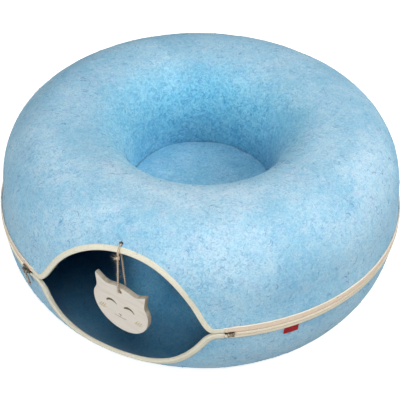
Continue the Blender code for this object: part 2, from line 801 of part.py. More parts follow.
def make_pad(material):
    """The loose pad: flat below, softly crowned above, with rounded edges."""
    floor = boss_height() + REST_GAP
    bend = PAD_ROUND / 4.0
    outline = [
        (0.0, floor),
        (PAD_RADIUS - PAD_ROUND, floor),
        (PAD_RADIUS - bend, floor + bend),
        (PAD_RADIUS, floor + PAD_ROUND),
        (PAD_RADIUS, floor + PAD_EDGE - PAD_ROUND),
        (PAD_RADIUS - bend, floor + PAD_EDGE - bend),
        (PAD_RADIUS - PAD_ROUND, floor + PAD_EDGE),
        (PAD_RADIUS / 2.0, floor + PAD_EDGE + PAD_CROWN * 0.75),
        (0.0, floor + PAD_EDGE + PAD_CROWN),
    ]
    return turned("centre_pad", outline, material)


def toy_frame():
    """Where the toy hangs: middle of its hole's front mouth, and the way it faces."""
    mouth = Vector((math.sin(ENTRANCE_AZIMUTH), -math.cos(ENTRANCE_AZIMUTH), 0.0))
    mouth = mouth * TOY_RING_RADIUS + Vector((0.0, 0.0, TOY_HANG_HEIGHT))
    facing = Vector((math.sin(TOY_FACING), -math.cos(TOY_FACING), 0.0))
    return mouth, facing


def make_toy(material):
    """The wooden cat face, with a hole between its ears."""
    half = []
    for curve in TOY_CURVE_SHARES:
        for step in range(TOY_STEPS):
            half.append(cubic(curve, step / TOY_STEPS))
    half.append(TOY_CURVE_SHARES[-1][-1])
    mirrored = [(-across, up) for across, up in half[-2:0:-1]]
    outline = [
        (across * TOY_HALF_WIDTH, up * TOY_HEIGHT) for across, up in half + mirrored
    ]
    toy = prism("cat_toy", outline, TOY_THICKNESS / 2.0, material)
    bevel = toy.modifiers.new("rounded_edges", "BEVEL")
    bevel.width = TOY_EDGE_ROUND
    bevel.segments = 1
    bevel.limit_method = "ANGLE"
    bevel.angle_limit = math.radians(60.0)
    hole = cylinder("cat_toy_hole", TOY_HOLE_RADIUS, TOY_THICKNESS)
    cut(toy, hole)
    mouth, facing = toy_frame()
    middle = mouth - facing * (TOY_THICKNESS / 2.0)
    pose = Matrix.Translation(middle) @ Matrix.Rotation(TOY_FACING + math.pi, 4, "Z")
    toy.matrix_world = pose
    hole.matrix_world = pose
    return toy


def skin_spot(down, lift):
    """A point beside the eyelet: a distance down the skin and a lift off it."""
    height, _, normal = eyelet()
    lower = height - down * normal.x
    radius, local = interpolate(upper_skin()[0], lower)
    far = radius + local.x * lift
    outward = Vector((math.sin(ENTRANCE_AZIMUTH), -math.cos(ENTRANCE_AZIMUTH), 0.0))
    return outward * far + Vector((0.0, 0.0, lower + local.y * lift))


def twine_route():
    """The twine's own points, from under the knot round to above it."""
    mouth, facing = toy_frame()
    up = Vector((0.0, 0.0, 1.0))
    side = TWINE_RADIUS
    clear = BINDING_GAP + BINDING + TWINE_RADIUS + TWINE_CLEARANCE
    reach = EYELET_ABOVE_ARCH / eyelet()[2].x
    edge = reach + BINDING_GAP + BINDING
    front_top = skin_spot(edge, clear)
    back_top = skin_spot(edge - TWINE_RADIUS, -FELT - clear)
    seated = TOY_HOLE_RADIUS - TWINE_RADIUS - REST_GAP
    pulled = EYELET_RADIUS - TWINE_RADIUS - REST_GAP
    front_low = mouth + facing * (2.9 * side) + up * (4.4 * side)
    back = mouth - facing * TOY_THICKNESS
    back_low = back - facing * (2.9 * side) + up * (4.4 * side)
    run = (front_low - front_top).normalized()
    knot = front_top + run * KNOT_DROP
    gap = KNOT_RADIUS + REST_GAP
    route = [
        knot + run * gap,
        front_top.lerp(front_low, 0.35),
        front_top.lerp(front_low, 0.7),
        front_low,
        mouth + facing * (1.9 * side) + up * (1.9 * side),
        mouth + facing * (0.2 * side) + up * seated,
        mouth - facing * (TOY_THICKNESS / 2.0) + up * seated,
        back - facing * (0.2 * side) + up * seated,
        back - facing * (1.9 * side) + up * (1.9 * side),
        back_low,
        back_low.lerp(back_top, 0.35),
        back_low.lerp(back_top, 0.75),
        back_top,
        skin_spot(reach / 2.0, -FELT - clear),
        skin_spot(pulled + 0.9 * side, -FELT - clear + 0.2 * side),
        skin_spot(pulled, -FELT - 0.4 * side),
        skin_spot(pulled, -FELT / 2.0),
        skin_spot(pulled, 0.4 * side),
        skin_spot(pulled + 0.9 * side, clear - 0.2 * side),
        skin_spot(reach / 2.0, clear),
        front_top,
        knot - run * gap,
    ]
    return route, knot


def smooth_points(route, spacing):
    """Even points along a smooth curve through the route."""
    dense = []
    ends = [route[0] * 2.0 - route[1]] + route + [route[-1] * 2.0 - route[-2]]
    for before, first, second, after in zip(ends, ends[1:], ends[2:], ends[3:]):
        span = (second - first).length
        slope_in = (second - before).normalized() * span
        slope_out = (after - first).normalized() * span
        for step in range(FACETS):
            share = step / FACETS
            square, cube = share**2, share**3
            point = first * (2.0 * cube - 3.0 * square + 1.0)
            point += slope_in * (cube - 2.0 * square + share)
            point += second * (3.0 * square - 2.0 * cube)
            point += slope_out * (cube - square)
            dense.append(point)
    dense.append(route[-1])
    walked = [0.0]
    for first, second in zip(dense, dense[1:]):
        walked.append(walked[-1] + (second - first).length)
    count = round(walked[-1] / spacing)
    points, index = [], 0
    for number in range(count + 1):
        target = walked[-1] * number / count
        while index < len(walked) - 2 and walked[index + 1] < target:
            index += 1
        share = (target - walked[index]) / (walked[index + 1] - walked[index])
        points.append(dense[index].lerp(dense[index + 1], share))
    return points, walked[-1]


def make_twine(material):
    """The twine as one tube, and the knot that closes its loop."""
    route, knot = twine_route()
    points, length = smooth_points(route, TWINE_SPACING)
    curve = bpy.data.curves.new("twine_loop", "CURVE")
    curve.dimensions = "3D"
    curve.bevel_depth = TWINE_RADIUS
    curve.bevel_resolution = 1
    curve.use_fill_caps = True
    spline = curve.splines.new("POLY")
    spline.points.add(len(points) - 1)
    for spot, point in zip(spline.points, points):
        spot.co = (*point, 1.0)
    curve.materials.append(material)
    item = bpy.data.objects.new("twine_loop", curve)
    bpy.context.scene.collection.objects.link(item)
    bm = bmesh.new()
    bmesh.ops.create_uvsphere(
        bm, u_segments=KNOT_RINGS, v_segments=KNOT_RINGS // 2, radius=KNOT_RADIUS
    )
    ball = new_object("twine_knot", bm, material, math.pi)
    ball.location = knot
    return length


def make_halves(felt_outside, cloth):
    """Both felt halves and the bindings of the entrance between them."""
    dome, well = upper_skin()
    hem = SEAM_HEIGHT + LAND_GAP / 2.0
    well_hem = (WELL_RADIUS, centre_zip_height() + HEM_RELIEF)
    skin = trim_hem(dome, hem) + well + [well_hem]
    wall = offset_line(skin, FELT)
    upper = turned("upper_shell", skin + wall[::-1], felt_outside)
    cut(upper, entrance_cutter("arch_cutter", dome, True))
    cut(upper, relief_cutter("upper_relief_cutter", True))
    height, radius, normal = eyelet()
    hole = cylinder("eyelet_cutter", EYELET_RADIUS, FELT + OVERRUN)
    tilt = Matrix.Rotation(math.atan2(normal.y, normal.x), 4, "X")
    around = Matrix.Rotation(ENTRANCE_AZIMUTH + math.pi, 4, "Z")
    spot = around @ Vector((0.0, radius, 0.0)) + Vector((0.0, 0.0, height))
    hole.matrix_world = Matrix.Translation(spot) @ around @ tilt
    cut(upper, hole)
    side, boss = lower_skin()
    skin = trim_hem(side, SEAM_HEIGHT - LAND_GAP / 2.0) + boss
    wall = offset_line(skin, -FELT)
    lower = turned("lower_shell", skin + wall[::-1], felt_outside)
    cut(lower, entrance_cutter("dip_cutter", side, False))
    cut(lower, relief_cutter("lower_relief_cutter", False))
    entrance_binding("upper_entrance_binding", dome, True, cloth)
    entrance_binding("lower_entrance_binding", side, False, cloth)


def make_zips(cloth, thread, metal):
    """The outer zip round the seam, and the hidden one round the well."""
    dome, _ = upper_skin()
    side, _ = lower_skin()
    far = TAPE_GAP + TAPE
    low = SEAM_HEIGHT + TAPE_EDGE
    spots = (low, low + OUTER_UPPER_TAPE)
    bend = (SEAM_HEIGHT + BAND_HEIGHT,)
    upper = strip_outline(dome, *spots, TAPE_GAP, far, bend)
    high = SEAM_HEIGHT - TAPE_EDGE
    spots = (high - OUTER_LOWER_TAPE, high)
    bend = (SEAM_HEIGHT - BAND_HEIGHT,)
    lower = strip_outline(side, *spots, TAPE_GAP, far, bend)
    radius = RING_RADIUS + TAPE_GAP + TAPE / 2.0
    start, end = land_azimuths()
    margin = ZIP_LAND_GAP / radius
    spot = (radius, SEAM_HEIGHT, start + margin, end - margin)
    make_zip("outer_zip", *spot, (upper, lower), (cloth, thread, metal))
    face = WELL_RADIUS + FELT
    height = centre_zip_height()
    near, outer = face + TAPE_GAP, face + far
    tapes = []
    for sign in (1.0, -1.0):
        edge, end_height = height + sign * TAPE_EDGE, height + sign * CENTRE_TAPE
        tapes.append(
            [(near, edge), (outer, edge), (outer, end_height), (near, end_height)]
        )
    spot = (face + TAPE_GAP + TAPE / 2.0, height)
    sweep = (CENTRE_ZIP_START, CENTRE_ZIP_START + CENTRE_ZIP_SWEEP)
    make_zip("centre_zip", *spot, *sweep, tapes, (cloth, thread, metal))


def make_label(material):
    """The plain label that hangs from under the lower tape."""
    side, _ = lower_skin()
    top = SEAM_HEIGHT - TAPE_EDGE - OUTER_LOWER_TAPE - REST_GAP
    bottom = top - LABEL_LENGTH
    far = TAPE_GAP + LABEL_THICKNESS
    middle = ((top + bottom) / 2.0,)
    outline = strip_outline(side, bottom, top, TAPE_GAP, far, middle)
    half = LABEL_WIDTH / 2.0 / RING_RADIUS
    ends = (LABEL_AZIMUTH - half, LABEL_AZIMUTH + half)
    return ring_part("side_label", outline, *ends, material)


def build():
    """Make every piece of the bed."""
    for item in list(bpy.data.objects):
        bpy.data.objects.remove(item, do_unlink=True)
    felt = felt_material("blue_felt", (0.28, 0.55, 0.78))
    pad_felt = felt_material("pad_felt", (0.30, 0.57, 0.80))
    cloth = felt_material("cream_cotton", (0.76, 0.70, 0.58))
    thread = finish("cream_nylon", (0.72, 0.66, 0.54), 0.55, 0.0)
    metal = finish("antique_bronze", (0.10, 0.09, 0.07), 0.45, 0.9)
    jute = felt_material("jute", (0.42, 0.28, 0.16))
    wood = finish("whitewashed_wood", (0.70, 0.66, 0.60), 0.75, 0.0)
    red = felt_material("red_label", (0.62, 0.03, 0.05))
    make_halves(felt, cloth)
    make_zips(cloth, thread, metal)
    make_pad(pad_felt)
    make_label(red)
    make_toy(wood)
    length = make_twine(jute)
    print(f"twine length {length / MM:.1f} mm")


build()
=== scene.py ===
"""Looks of a felt donut cat tunnel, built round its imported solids.

Metres, +Z up, the floor at zero. An azimuth is an angle round the ring, from -Y
towards +X. Lengths below are in millimetres until a function turns them into metres.
"""
import math

import bmesh
import bpy
from mathutils import Matrix, Vector, noise

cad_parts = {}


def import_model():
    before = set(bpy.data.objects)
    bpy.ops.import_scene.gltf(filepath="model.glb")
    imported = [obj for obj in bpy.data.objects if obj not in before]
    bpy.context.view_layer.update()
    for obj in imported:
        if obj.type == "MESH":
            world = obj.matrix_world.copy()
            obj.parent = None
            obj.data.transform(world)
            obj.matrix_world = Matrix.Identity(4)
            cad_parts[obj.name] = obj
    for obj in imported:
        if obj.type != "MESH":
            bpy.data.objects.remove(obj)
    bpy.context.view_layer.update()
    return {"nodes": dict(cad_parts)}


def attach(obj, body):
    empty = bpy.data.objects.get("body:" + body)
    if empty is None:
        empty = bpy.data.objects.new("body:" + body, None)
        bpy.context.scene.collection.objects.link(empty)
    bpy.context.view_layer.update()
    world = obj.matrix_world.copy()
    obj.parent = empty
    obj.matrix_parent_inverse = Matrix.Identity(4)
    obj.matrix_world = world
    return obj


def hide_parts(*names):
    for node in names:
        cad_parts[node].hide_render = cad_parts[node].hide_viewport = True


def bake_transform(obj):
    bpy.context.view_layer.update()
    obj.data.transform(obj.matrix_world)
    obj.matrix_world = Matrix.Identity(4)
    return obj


MM = 0.001
WHITE = (1.0, 1.0, 1.0, 1.0)

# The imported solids' own sizes, in millimetres
FELT = 3.6
RING = 248.5
# A smooth ring's radius, as a share of the faceted ring's at its corners
SMOOTH_RING = 0.99915
SEAM = 103.5
WELL = 88.8
# Radius and height of the crown's top, and of where the dome begins to bend
CROWN = (175.04, 219.5)
SHOULDER = (244.0, 138.5)
WELL_BEND = 118.5
# The upright band at the seam: its radius, and its height each way
BAND = (248.3, 5.0)
# Radius and height of where the bowl begins to bend, then the foot's two radii
HAUNCH = (246.7, 90.5)
FOOT = (186.04, 164.04)
CENTRE_ZIP = 109.0
HEM_RELIEF = 4.6
PLATEAU = CENTRE_ZIP - HEM_RELIEF - FELT
NECK = PLATEAU - 22.0
LAND_GAP = 1.7
ENTRANCE = math.radians(-21.8)
HALF_WIDTH = 111.5
LEFT_LAND, RIGHT_LAND = 13.0, 13.5
# Cut edges: rise, shoulder's arc, corner handle's reach and angle, and lean
ARCH = (85.84, 85.63, 20.8, math.radians(8.0), 4.2)
DIP = (78.76, 81.84, 24.8, math.radians(38.4), -4.0)
# Where an edge leaves its curve, before the corner, and joins its land, past it
RUN_OUT = (13.0, 10.5)
EYELET, EYELET_RADIUS = SEAM + ARCH[0] + 7.6, 2.3
# A binding's two faces off the felt, and how far it reaches over it
LAP = (0.12, 0.62)
COVER = 5.6
# A zip tape's thickness, its gap to the felt, its edge off the seam and the widths
TAPE = 0.8
TAPE_GAP = 0.35
TAPE_EDGE = 1.95
UPPER_TAPE, LOWER_TAPE = 7.5, 5.3
TOY_HALF_WIDTH, TOY_HEIGHT, TOY_THICKNESS = 38.8, 68.4, 7.0
# The toy's hole at its face: azimuth, radius and height
TOY_MOUTH, TOY_HOLE_RADIUS = (ENTRANCE, 231.5, 131.5), 2.4
TOY_FACING = math.radians(-35.3)
KNOT = (-86.505, -216.042, 182.847)

# What only this script draws, in millimetres
# How far in from a felt edge its rounding is half done, and done
SOFT_EDGE = (0.4, 1.3)
FELT_STEPS = 44
BINDING_STEP, BINDING_STITCH = 1.3, 3.9
COIL_PITCH = 1.25
# How far the rows of teeth end short of their tapes
ROW_INSETS = (9.1, 9.2)
# How far tapes and piping run on under the bindings, and how deep they dip there
TAPE_LAP, PIPING_LAP = 4.6, 4.0
TAPE_TUCK = 1.6

# Felt colours as a paint chart gives them: pale, middle, deep, fleck and lilac
SKY_TONES = (
    (196, 224, 237), (155, 201, 222), (104, 162, 200), (58, 124, 186), (192, 210, 232),
)
# The inner side's tones: a darker copy of the felt, painted shade inside the tunnel
SHADED_INNER_TONES = (
    (104, 166, 196), (80, 147, 184), (46, 112, 158), (20, 74, 122), (104, 152, 188),
)
PAD_TONES = (
    (160, 211, 233), (118, 186, 215), (52, 128, 175), (24, 88, 152), (152, 196, 224),
)

# The twine's route, as its solid has it, from under the knot round to above it
TWINE_ROUTE = (
    (-86.571, -216.115, 180.149),
    (-86.794, -216.363, 170.963),
    (-87.254, -216.874, 152.083),
    (-87.647, -217.311, 135.9),
    (-87.07, -216.495, 133.4),
    (-86.087, -215.108, 132.6),
    (-83.949, -212.088, 132.6),
    (-81.811, -209.068, 132.6),
    (-80.829, -207.681, 133.4),
    (-80.251, -206.865, 135.9),
    (-81.365, -207.472, 153.381),
    (-82.638, -208.167, 173.36),
    (-83.434, -208.601, 185.846),
    (-82.513, -206.298, 189.436),
    (-82.019, -205.063, 191.734),
    (-82.415, -206.052, 193.616),
    (-83.042, -207.619, 195.027),
    (-83.669, -209.187, 196.438),
    (-84.406, -211.03, 196.986),
    (-85.092, -212.746, 194.676),
    (-86.335, -215.853, 189.842),
    (-86.44, -215.969, 185.545),
)

# Half the cat's outline from its hole, in shares of its half width and height
CAT_OUTLINE_SHARES = (
    ((0.000, 0.091), (0.232, 0.091), (0.438, 0.038), (0.541, 0.047)),
    ((0.541, 0.047), (0.644, 0.056), (0.773, 0.110), (0.910, 0.152)),
    ((0.910, 0.152), (0.907, 0.058), (0.866, -0.029), (0.874, -0.088)),
    ((0.874, -0.088), (0.892, -0.175), (0.995, -0.205), (1.000, -0.322)),
    ((1.000, -0.322), (1.010, -0.614), (0.567, -0.848), (0.000, -0.848)),
)


# ---- finishes ----


def paint(red, green, blue):
    """A colour as a paint chart gives it, made linear for the shader."""
    tones = []
    for value in (red, green, blue):
        tone = value / 255.0
        tones.append(tone / 12.92 if tone < 0.04045 else ((tone + 0.055) / 1.055) ** 2.4)
    return (*tones, 1.0)


def wired(tree, kind, inputs=None, **settings):
    """The outputs of a new node, whose inputs are set or joined to sockets."""
    node = tree.nodes.new(kind)
    for key, value in settings.items():
        setattr(node, key, value)
    for key, value in (inputs or {}).items():
        if isinstance(value, bpy.types.NodeSocket):
            tree.links.new(value, node.inputs[key])
        else:
            node.inputs[key].default_value = value
    return node.outputs


class Finish:
    """A material in the making: its shader and the wires between its nodes."""

    def __init__(self, name, colour, roughness, metallic=0.0, sheen=0.0, gloss=0.5):
        self.material = bpy.data.materials.new(name)
        self.material.use_nodes = True
        self.tree = self.material.node_tree
        self.shader = self.tree.nodes["Principled BSDF"]
        for key, value in (
            ("Base Color", colour),
            ("Roughness", roughness),
            ("Metallic", metallic),
            ("Sheen Weight", sheen),
            ("Sheen Roughness", 0.6),
            ("Specular IOR Level", gloss),
        ):
            self.shader.inputs[key].default_value = value
        self.place = self.add("ShaderNodeTexCoord")["Object"]

    def add(self, kind, inputs=None, **settings):
        """The outputs of a new node in this material."""
        return wired(self.tree, kind, inputs, **settings)

    def feed(self, key, source):
        """Join a value or a colour to one of the shader's own inputs."""
        self.tree.links.new(source, self.shader.inputs[key])

    def weave_place(self):
        """The piece's own weave map, and its lengths along and across."""
        place = self.add("ShaderNodeUVMap", uv_map="weave")["UV"]
        split = self.add("ShaderNodeSeparateXYZ", {"Vector": place})
        return place, split["X"], split["Y"]

    def cloud(self, scale, detail=3.0, rough=0.55, twist=0.0, place=None, stretch=None):
        """Soft noise, at so many blotches a metre."""
        spot = place or self.place
        if stretch:
            inputs = {"Scale": stretch, "Vector": spot}
            spot = self.add("ShaderNodeMapping", inputs)["Vector"]
        inputs = {"Scale": scale, "Detail": detail, "Roughness": rough}
        inputs |= {"Distortion": twist, "Vector": spot}
        return self.add("ShaderNodeTexNoise", inputs)["Fac"]

    def steps(self, value, *stops):
        """A ramp through (place, tone) stops; a tone is a grey level or a colour."""
        node = self.tree.nodes.new("ShaderNodeValToRGB")
        ramp = node.color_ramp
        while len(ramp.elements) < len(stops):
            ramp.elements.new(0.5)
        for element, (spot, tone) in zip(ramp.elements, stops):
            element.position = spot
            element.color = tone if isinstance(tone, tuple) else (tone, tone, tone, 1.0)
        self.tree.links.new(value, node.inputs["Fac"])
        return node.outputs["Color"]

    def calc(self, operation, *values):
        """Arithmetic on numbers and sockets."""
        inputs = dict(enumerate(values))
        return self.add("ShaderNodeMath", inputs, operation=operation)["Value"]

    def mix(self, amount, first, second, how="MIX"):
        """Two colours mixed. The node's colour sockets can only be told by number."""
        inputs = {0: amount, 6: first, 7: second}
        return self.add("ShaderNodeMix", inputs, data_type="RGBA", blend_type=how)[2]

    def shaded(self, tone, shade, amount=1.0):
        """A colour times another."""
        return self.mix(amount, tone, shade, "MULTIPLY")

    def bump(self, height, depth, strength=1.0):
        """Relief of so many metres, on top of any relief so far."""
        inputs = {"Strength": strength, "Distance": depth, "Height": height}
        before = self.shader.inputs["Normal"].links
        if before:
            inputs["Normal"] = before[0].from_socket
        self.feed("Normal", self.add("ShaderNodeBump", inputs)["Normal"])


def heathered_felt(name, tones, hollow=None, grit=1.0):
    """Pressed wool felt: matted curls, pale and lilac drifts and darker flecks; given a
    hollow tint, also painted shade in the well and painted light on the crown.
    """
    pale, middle, deep, fleck, lilac = (paint(*tone) for tone in tones)
    felt = Finish(name, middle, 0.95, sheen=0.3, gloss=0.2)
    felt.shader.inputs["Sheen Tint"].default_value = (0.72, 0.9, 1.0, 1.0)
    drift = felt.cloud(9.0, 2.0, 0.5, 0.3)
    tone = felt.steps(drift, (0.4, middle), (0.62, pale))
    bloom = felt.steps(felt.cloud(42.0, 3.0, 0.6, 1.2), (0.5, 0.0), (0.66, 0.5))
    tone = felt.mix(bloom, tone, lilac)
    curls = felt.cloud(190.0, 4.0, 0.74, 2.0)
    tone = felt.mix(felt.steps(curls, (0.44, 0.0), (0.66, 0.66)), tone, deep)
    light = felt.cloud(230.0, 3.0, 0.7, 2.4)
    tone = felt.mix(felt.steps(light, (0.48, 0.0), (0.68, 0.6)), tone, pale)
    web = felt.cloud(95.0, 2.0, 0.6, 3.0)
    line = felt.calc("ABSOLUTE", felt.calc("SUBTRACT", web, 0.5))
    strand = felt.steps(line, (0.0, 0.6), (0.022, 0.0))
    patch = felt.steps(felt.cloud(60.0, 2.0), (0.52, 0.0), (0.6, 0.8))
    tone = felt.mix(felt.calc("MULTIPLY", strand, patch), tone, fleck)
    spots = felt.steps(felt.cloud(150.0, 3.0, 0.65, 1.6), (0.25, 0.6), (0.4, 0.0))
    tone = felt.mix(spots, tone, fleck)
    dye = felt.cloud(85.0, 2.0, 0.5, 0.6)
    dye = felt.steps(dye, (0.36, (0.86, 0.96, 1.0, 1.0)), (0.62, (1.04, 1.01, 1.0, 1.0)))
    tone = felt.shaded(tone, dye)
    grain = felt.cloud(950.0, 3.0, 0.8, 0.8)
    shade = felt.steps(grain, (0.3, 1.0 - 0.14 * grit), (0.7, 1.0 + 0.07 * grit))
    tone = felt.shaded(tone, shade)
    if hollow:
        depth = well_shade_and_knot_share(felt)
        knots = felt.steps(felt.cloud(190.0, 4.0, 0.7, 1.4), (0.44, 0.0), (0.6, 0.9))
        knots = felt.calc("MULTIPLY", depth, knots)
        tone = felt.shaded(tone, (0.52, 0.7, 0.82, 1.0), knots)
        # Painted shade: the well darker and bluer toward its middle
        tone = felt.shaded(tone, hollow, depth)
        # Painted light and shade: paler toward the crown's top, front and right, darker and
        # bluer low down and behind
        darker_tone = felt.steps(lit_side_share(felt), (0.1, (0.73, 0.865, 0.92, 1.0)), (0.95, 1.0))
        tone = felt.shaded(tone, darker_tone)
    felt.feed("Base Color", tone)
    felt.bump(drift, 0.001, 0.5)
    felt.bump(curls, 0.0003, 0.6)
    felt.bump(grain, 0.0003, 0.6)
    return felt.material


def lit_side_share(felt):
    """Painted light and shade: one toward the crown's top, front and right, where the lamps
    fall, and less low down and behind.
    """
    inputs = {0: felt.place, 1: (1.0, -2.2, 17.0)}
    slope = felt.add("ShaderNodeVectorMath", inputs, operation="DOT_PRODUCT")
    return felt.calc("ADD", slope["Value"], -3.15)


def well_shade_and_knot_share(felt):
    """One deep in the well and nought on the crown: where shade is painted, and where the
    darker knots lie.
    """
    flat = felt.add("ShaderNodeMapping", {"Scale": (1.0, 1.0, 0.0), "Vector": felt.place})
    inputs = {0: flat["Vector"]}
    reach = felt.add("ShaderNodeVectorMath", inputs, operation="LENGTH")["Value"]
    return felt.steps(reach, (0.092, 1.0), (0.142, 0.0))


def woven_cotton(name, pale, dark, pitch=0.62):
    """Plain-weave tape: crossing threads on the piece's own weave map."""
    cloth = Finish(name, pale, 0.9, sheen=0.05, gloss=0.15)
    place, *ways = cloth.weave_place()
    turns = 2.0 * math.pi / pitch
    threads = [cloth.calc("SINE", cloth.calc("MULTIPLY", way, turns)) for way in ways]
    weave = cloth.calc("MULTIPLY_ADD", cloth.calc("MULTIPLY", *threads), 0.5, 0.5)
    slub = cloth.cloud(0.25, 3.0, 0.6, 0.0, place, (1.0, 4.0, 1.0))
    tone = cloth.mix(cloth.steps(slub, (0.3, 0.0), (0.75, 1.0)), pale, dark)
    tone = cloth.shaded(tone, cloth.steps(weave, (0.0, 0.86), (0.6, 1.0)))
    cloth.feed("Base Color", tone)
    cloth.bump(weave, 0.00016, 0.8)
    cloth.bump(cloth.cloud(120.0, 2.0), 0.0004, 0.4)
    return cloth.material


def plain_thread(name, colour, roughness=0.6):
    """Sewing thread or nylon, faintly uneven."""
    thread = Finish(name, colour, roughness, sheen=0.1)
    grain = thread.cloud(700.0, 2.0, 0.6)
    shade = thread.steps(grain, (0.3, 0.86), (0.7, 1.04))
    thread.feed("Base Color", thread.shaded(colour, shade))
    thread.bump(grain, 0.00008, 0.5)
    return thread.material


def aged_bronze():
    """Dark plated zip metal, rubbed brighter in places."""
    metal = Finish("aged_bronze", paint(84, 74, 60), 0.42, metallic=0.85)
    rub = metal.cloud(420.0, 4.0, 0.65, 0.4)
    tone = metal.steps(rub, (0.42, paint(62, 56, 48)), (0.62, paint(164, 150, 128)))
    metal.feed("Base Color", tone)
    metal.feed("Roughness", metal.steps(rub, (0.4, 0.5), (0.7, 0.25)))
    metal.bump(metal.cloud(2600.0, 2.0), 0.00003, 0.5)
    return metal.material


def whitewashed_wood(name, pale, darker_tone, streak):
    """Limed plywood: a thin even wash, with the grain barely through it."""
    wood = Finish(name, pale, 0.75)
    inputs = {"Rotation": (0.0, 0.0, -TOY_FACING), "Vector": wood.place}
    place = wood.add("ShaderNodeMapping", inputs)["Vector"]
    grain = wood.cloud(220.0, 4.0, 0.6, 0.5, place, streak)
    fine = wood.cloud(1500.0, 3.0, 0.6, 0.0, place, (0.06, 1.0, 1.0))
    tone = wood.steps(grain, (0.28, darker_tone), (0.5, pale))
    wood.feed("Base Color", wood.shaded(tone, wood.steps(fine, (0.3, 0.96), (0.6, 1.0))))
    wood.bump(grain, 0.0001, 0.3)
    wood.bump(fine, 0.0001, 0.5)
    return wood.material


def jute():
    """Two-ply jute, its lay drawn on the cord's own map."""
    cord = Finish("jute", paint(176, 142, 108), 0.92, sheen=0.2)
    _, along, girth = cord.weave_place()
    lay_length, plies = 3.2, 2.0
    lay = cord.calc("MULTIPLY", along, 2.0 * math.pi / lay_length)
    ply = cord.calc("MULTIPLY", girth, plies * 2.0 * math.pi)
    twist = cord.calc("SINE", cord.calc("ADD", lay, ply))
    twist = cord.calc("MULTIPLY_ADD", twist, 0.5, 0.5)
    yarn = cord.cloud(900.0, 3.0, 0.7, 0.6)
    tone = cord.steps(twist, (0.0, paint(162, 134, 106)), (0.6, paint(226, 206, 180)))
    cord.feed("Base Color", cord.shaded(tone, cord.steps(yarn, (0.3, 0.82), (0.7, 1.1))))
    cord.bump(twist, 0.0004, 0.9)
    cord.bump(yarn, 0.0002, 0.7)
    return cord.material


def flat_finish(name, colour, roughness):
    """A fine mark or fibre, with a little unevenness."""
    mark = Finish(name, colour, roughness)
    shade = mark.steps(mark.cloud(1200.0, 2.0), (0.3, 0.8), (0.7, 1.1))
    mark.feed("Base Color", mark.shaded(colour, shade))
    return mark.material


# ---- meshes ----


def placed(name, data):
    """A new object in the scene."""
    item = bpy.data.objects.new(name, data)
    bpy.context.scene.collection.objects.link(item)
    return item


def made(name, verts, faces, material, weave=None):
    """A smooth mesh object in metres from points in millimetres."""
    mesh = bpy.data.meshes.new(name)
    mesh.from_pydata([tuple(c * MM for c in point) for point in verts], [], faces)
    if weave:
        layer = mesh.uv_layers.new(name="weave")
        for loop in mesh.loops:
            layer.data[loop.index].uv = weave[loop.vertex_index]
    mesh.shade_smooth()
    mesh.materials.append(material)
    return placed(name, mesh)


def quad(count, *corners):
    """A face through corners given as ring and place, with count places to a ring."""
    return tuple(ring * count + place for ring, place in corners)


def skinned(name, rings, material, closed_row=False, weave=None, turn=0):
    """Skin rings of points into a closed mesh.

    An open row of rings has both its ends capped. Where the rings of a closed row all
    meet, turn is the first place past the meeting, and a face closes either side of it.
    """
    count = len(rings[0])
    verts = [point for ring in rings for point in ring]
    faces = []
    rows = len(rings) if closed_row else len(rings) - 1
    for row in range(rows):
        after = (row + 1) % len(rings)
        for index in range(count):
            other = (index + 1) % count
            if not turn or other != turn:
                faces.append(
                    quad(count, (row, index), (row, other), (after, other), (after, index))
                )
    if turn:
        faces.append(tuple(row * count + turn - 1 for row in range(rows)))
        faces.append(tuple(row * count + turn for row in range(rows))[::-1])
    elif not closed_row:
        faces.append(tuple(range(count))[::-1])
        faces.append(tuple(rows * count + index for index in range(count)))
    item = made(name, verts, faces, material, weave)
    face_outwards(item)
    return item


def face_outwards(item):
    """Turn every face of a closed mesh outwards."""
    bm = bmesh.new()
    bm.from_mesh(item.data)
    bmesh.ops.recalc_face_normals(bm, faces=bm.faces)
    if bm.calc_volume(signed=True) < 0.0:
        bmesh.ops.reverse_faces(bm, faces=bm.faces)
    bm.to_mesh(item.data)
    bm.free()


def finished(item, name=None):
    """Turn what an object's modifiers make into a plain mesh at the origin."""
    bpy.context.view_layer.update()
    graph = bpy.context.evaluated_depsgraph_get()
    mesh = bpy.data.meshes.new_from_object(item.evaluated_get(graph))
    mesh.transform(item.matrix_world)
    title = name or item.name
    bpy.data.objects.remove(item, do_unlink=True)
    return placed(title, mesh)


def joined(name, items):
    """Several finished meshes as one piece."""
    bpy.context.view_layer.update()
    for other in bpy.context.selected_objects:
        other.select_set(False)
    for item in items:
        item.select_set(True)
    bpy.context.view_layer.objects.active = items[0]
    bpy.ops.object.join()
    items[0].name = name
    items[0].select_set(False)
    return items[0]


def piece(item, body, nodes=()):
    """Tell the frame where a finished piece belongs."""
    if nodes:
        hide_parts(*nodes)
    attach(item, body)


# ---- the ring's own shape ----


def around(azimuth, radius, height):
    """A point on the smooth ring."""
    reach = radius * SMOOTH_RING
    return Vector((reach * math.sin(azimuth), -reach * math.cos(azimuth), height))


def outward(azimuth):
    """The level direction away from the ring's middle."""
    return Vector((math.sin(azimuth), -math.cos(azimuth), 0.0))


def held(share):
    """A share kept between nought and one."""
    return min(1.0, max(0.0, share))


def apart(first, second):
    """The distance between two vectors."""
    return (second - first).length


def walked(points, distance=math.dist):
    """How far along a row of points each of them lies."""
    walk = [0.0]
    for first, second in zip(points, points[1:]):
        walk.append(walk[-1] + distance(first, second))
    return walk


def even_marks(walk, spacing):
    """Even stations on a walk: the point before each, and its share of the way on."""
    count = round(walk[-1] / spacing)
    marks, index = [], 0
    for number in range(count + 1):
        target = walk[-1] * number / count
        while index < len(walk) - 2 and walk[index + 1] < target:
            index += 1
        span = max(walk[index + 1] - walk[index], 1e-9)
        marks.append((index, (target - walk[index]) / span))
    return marks


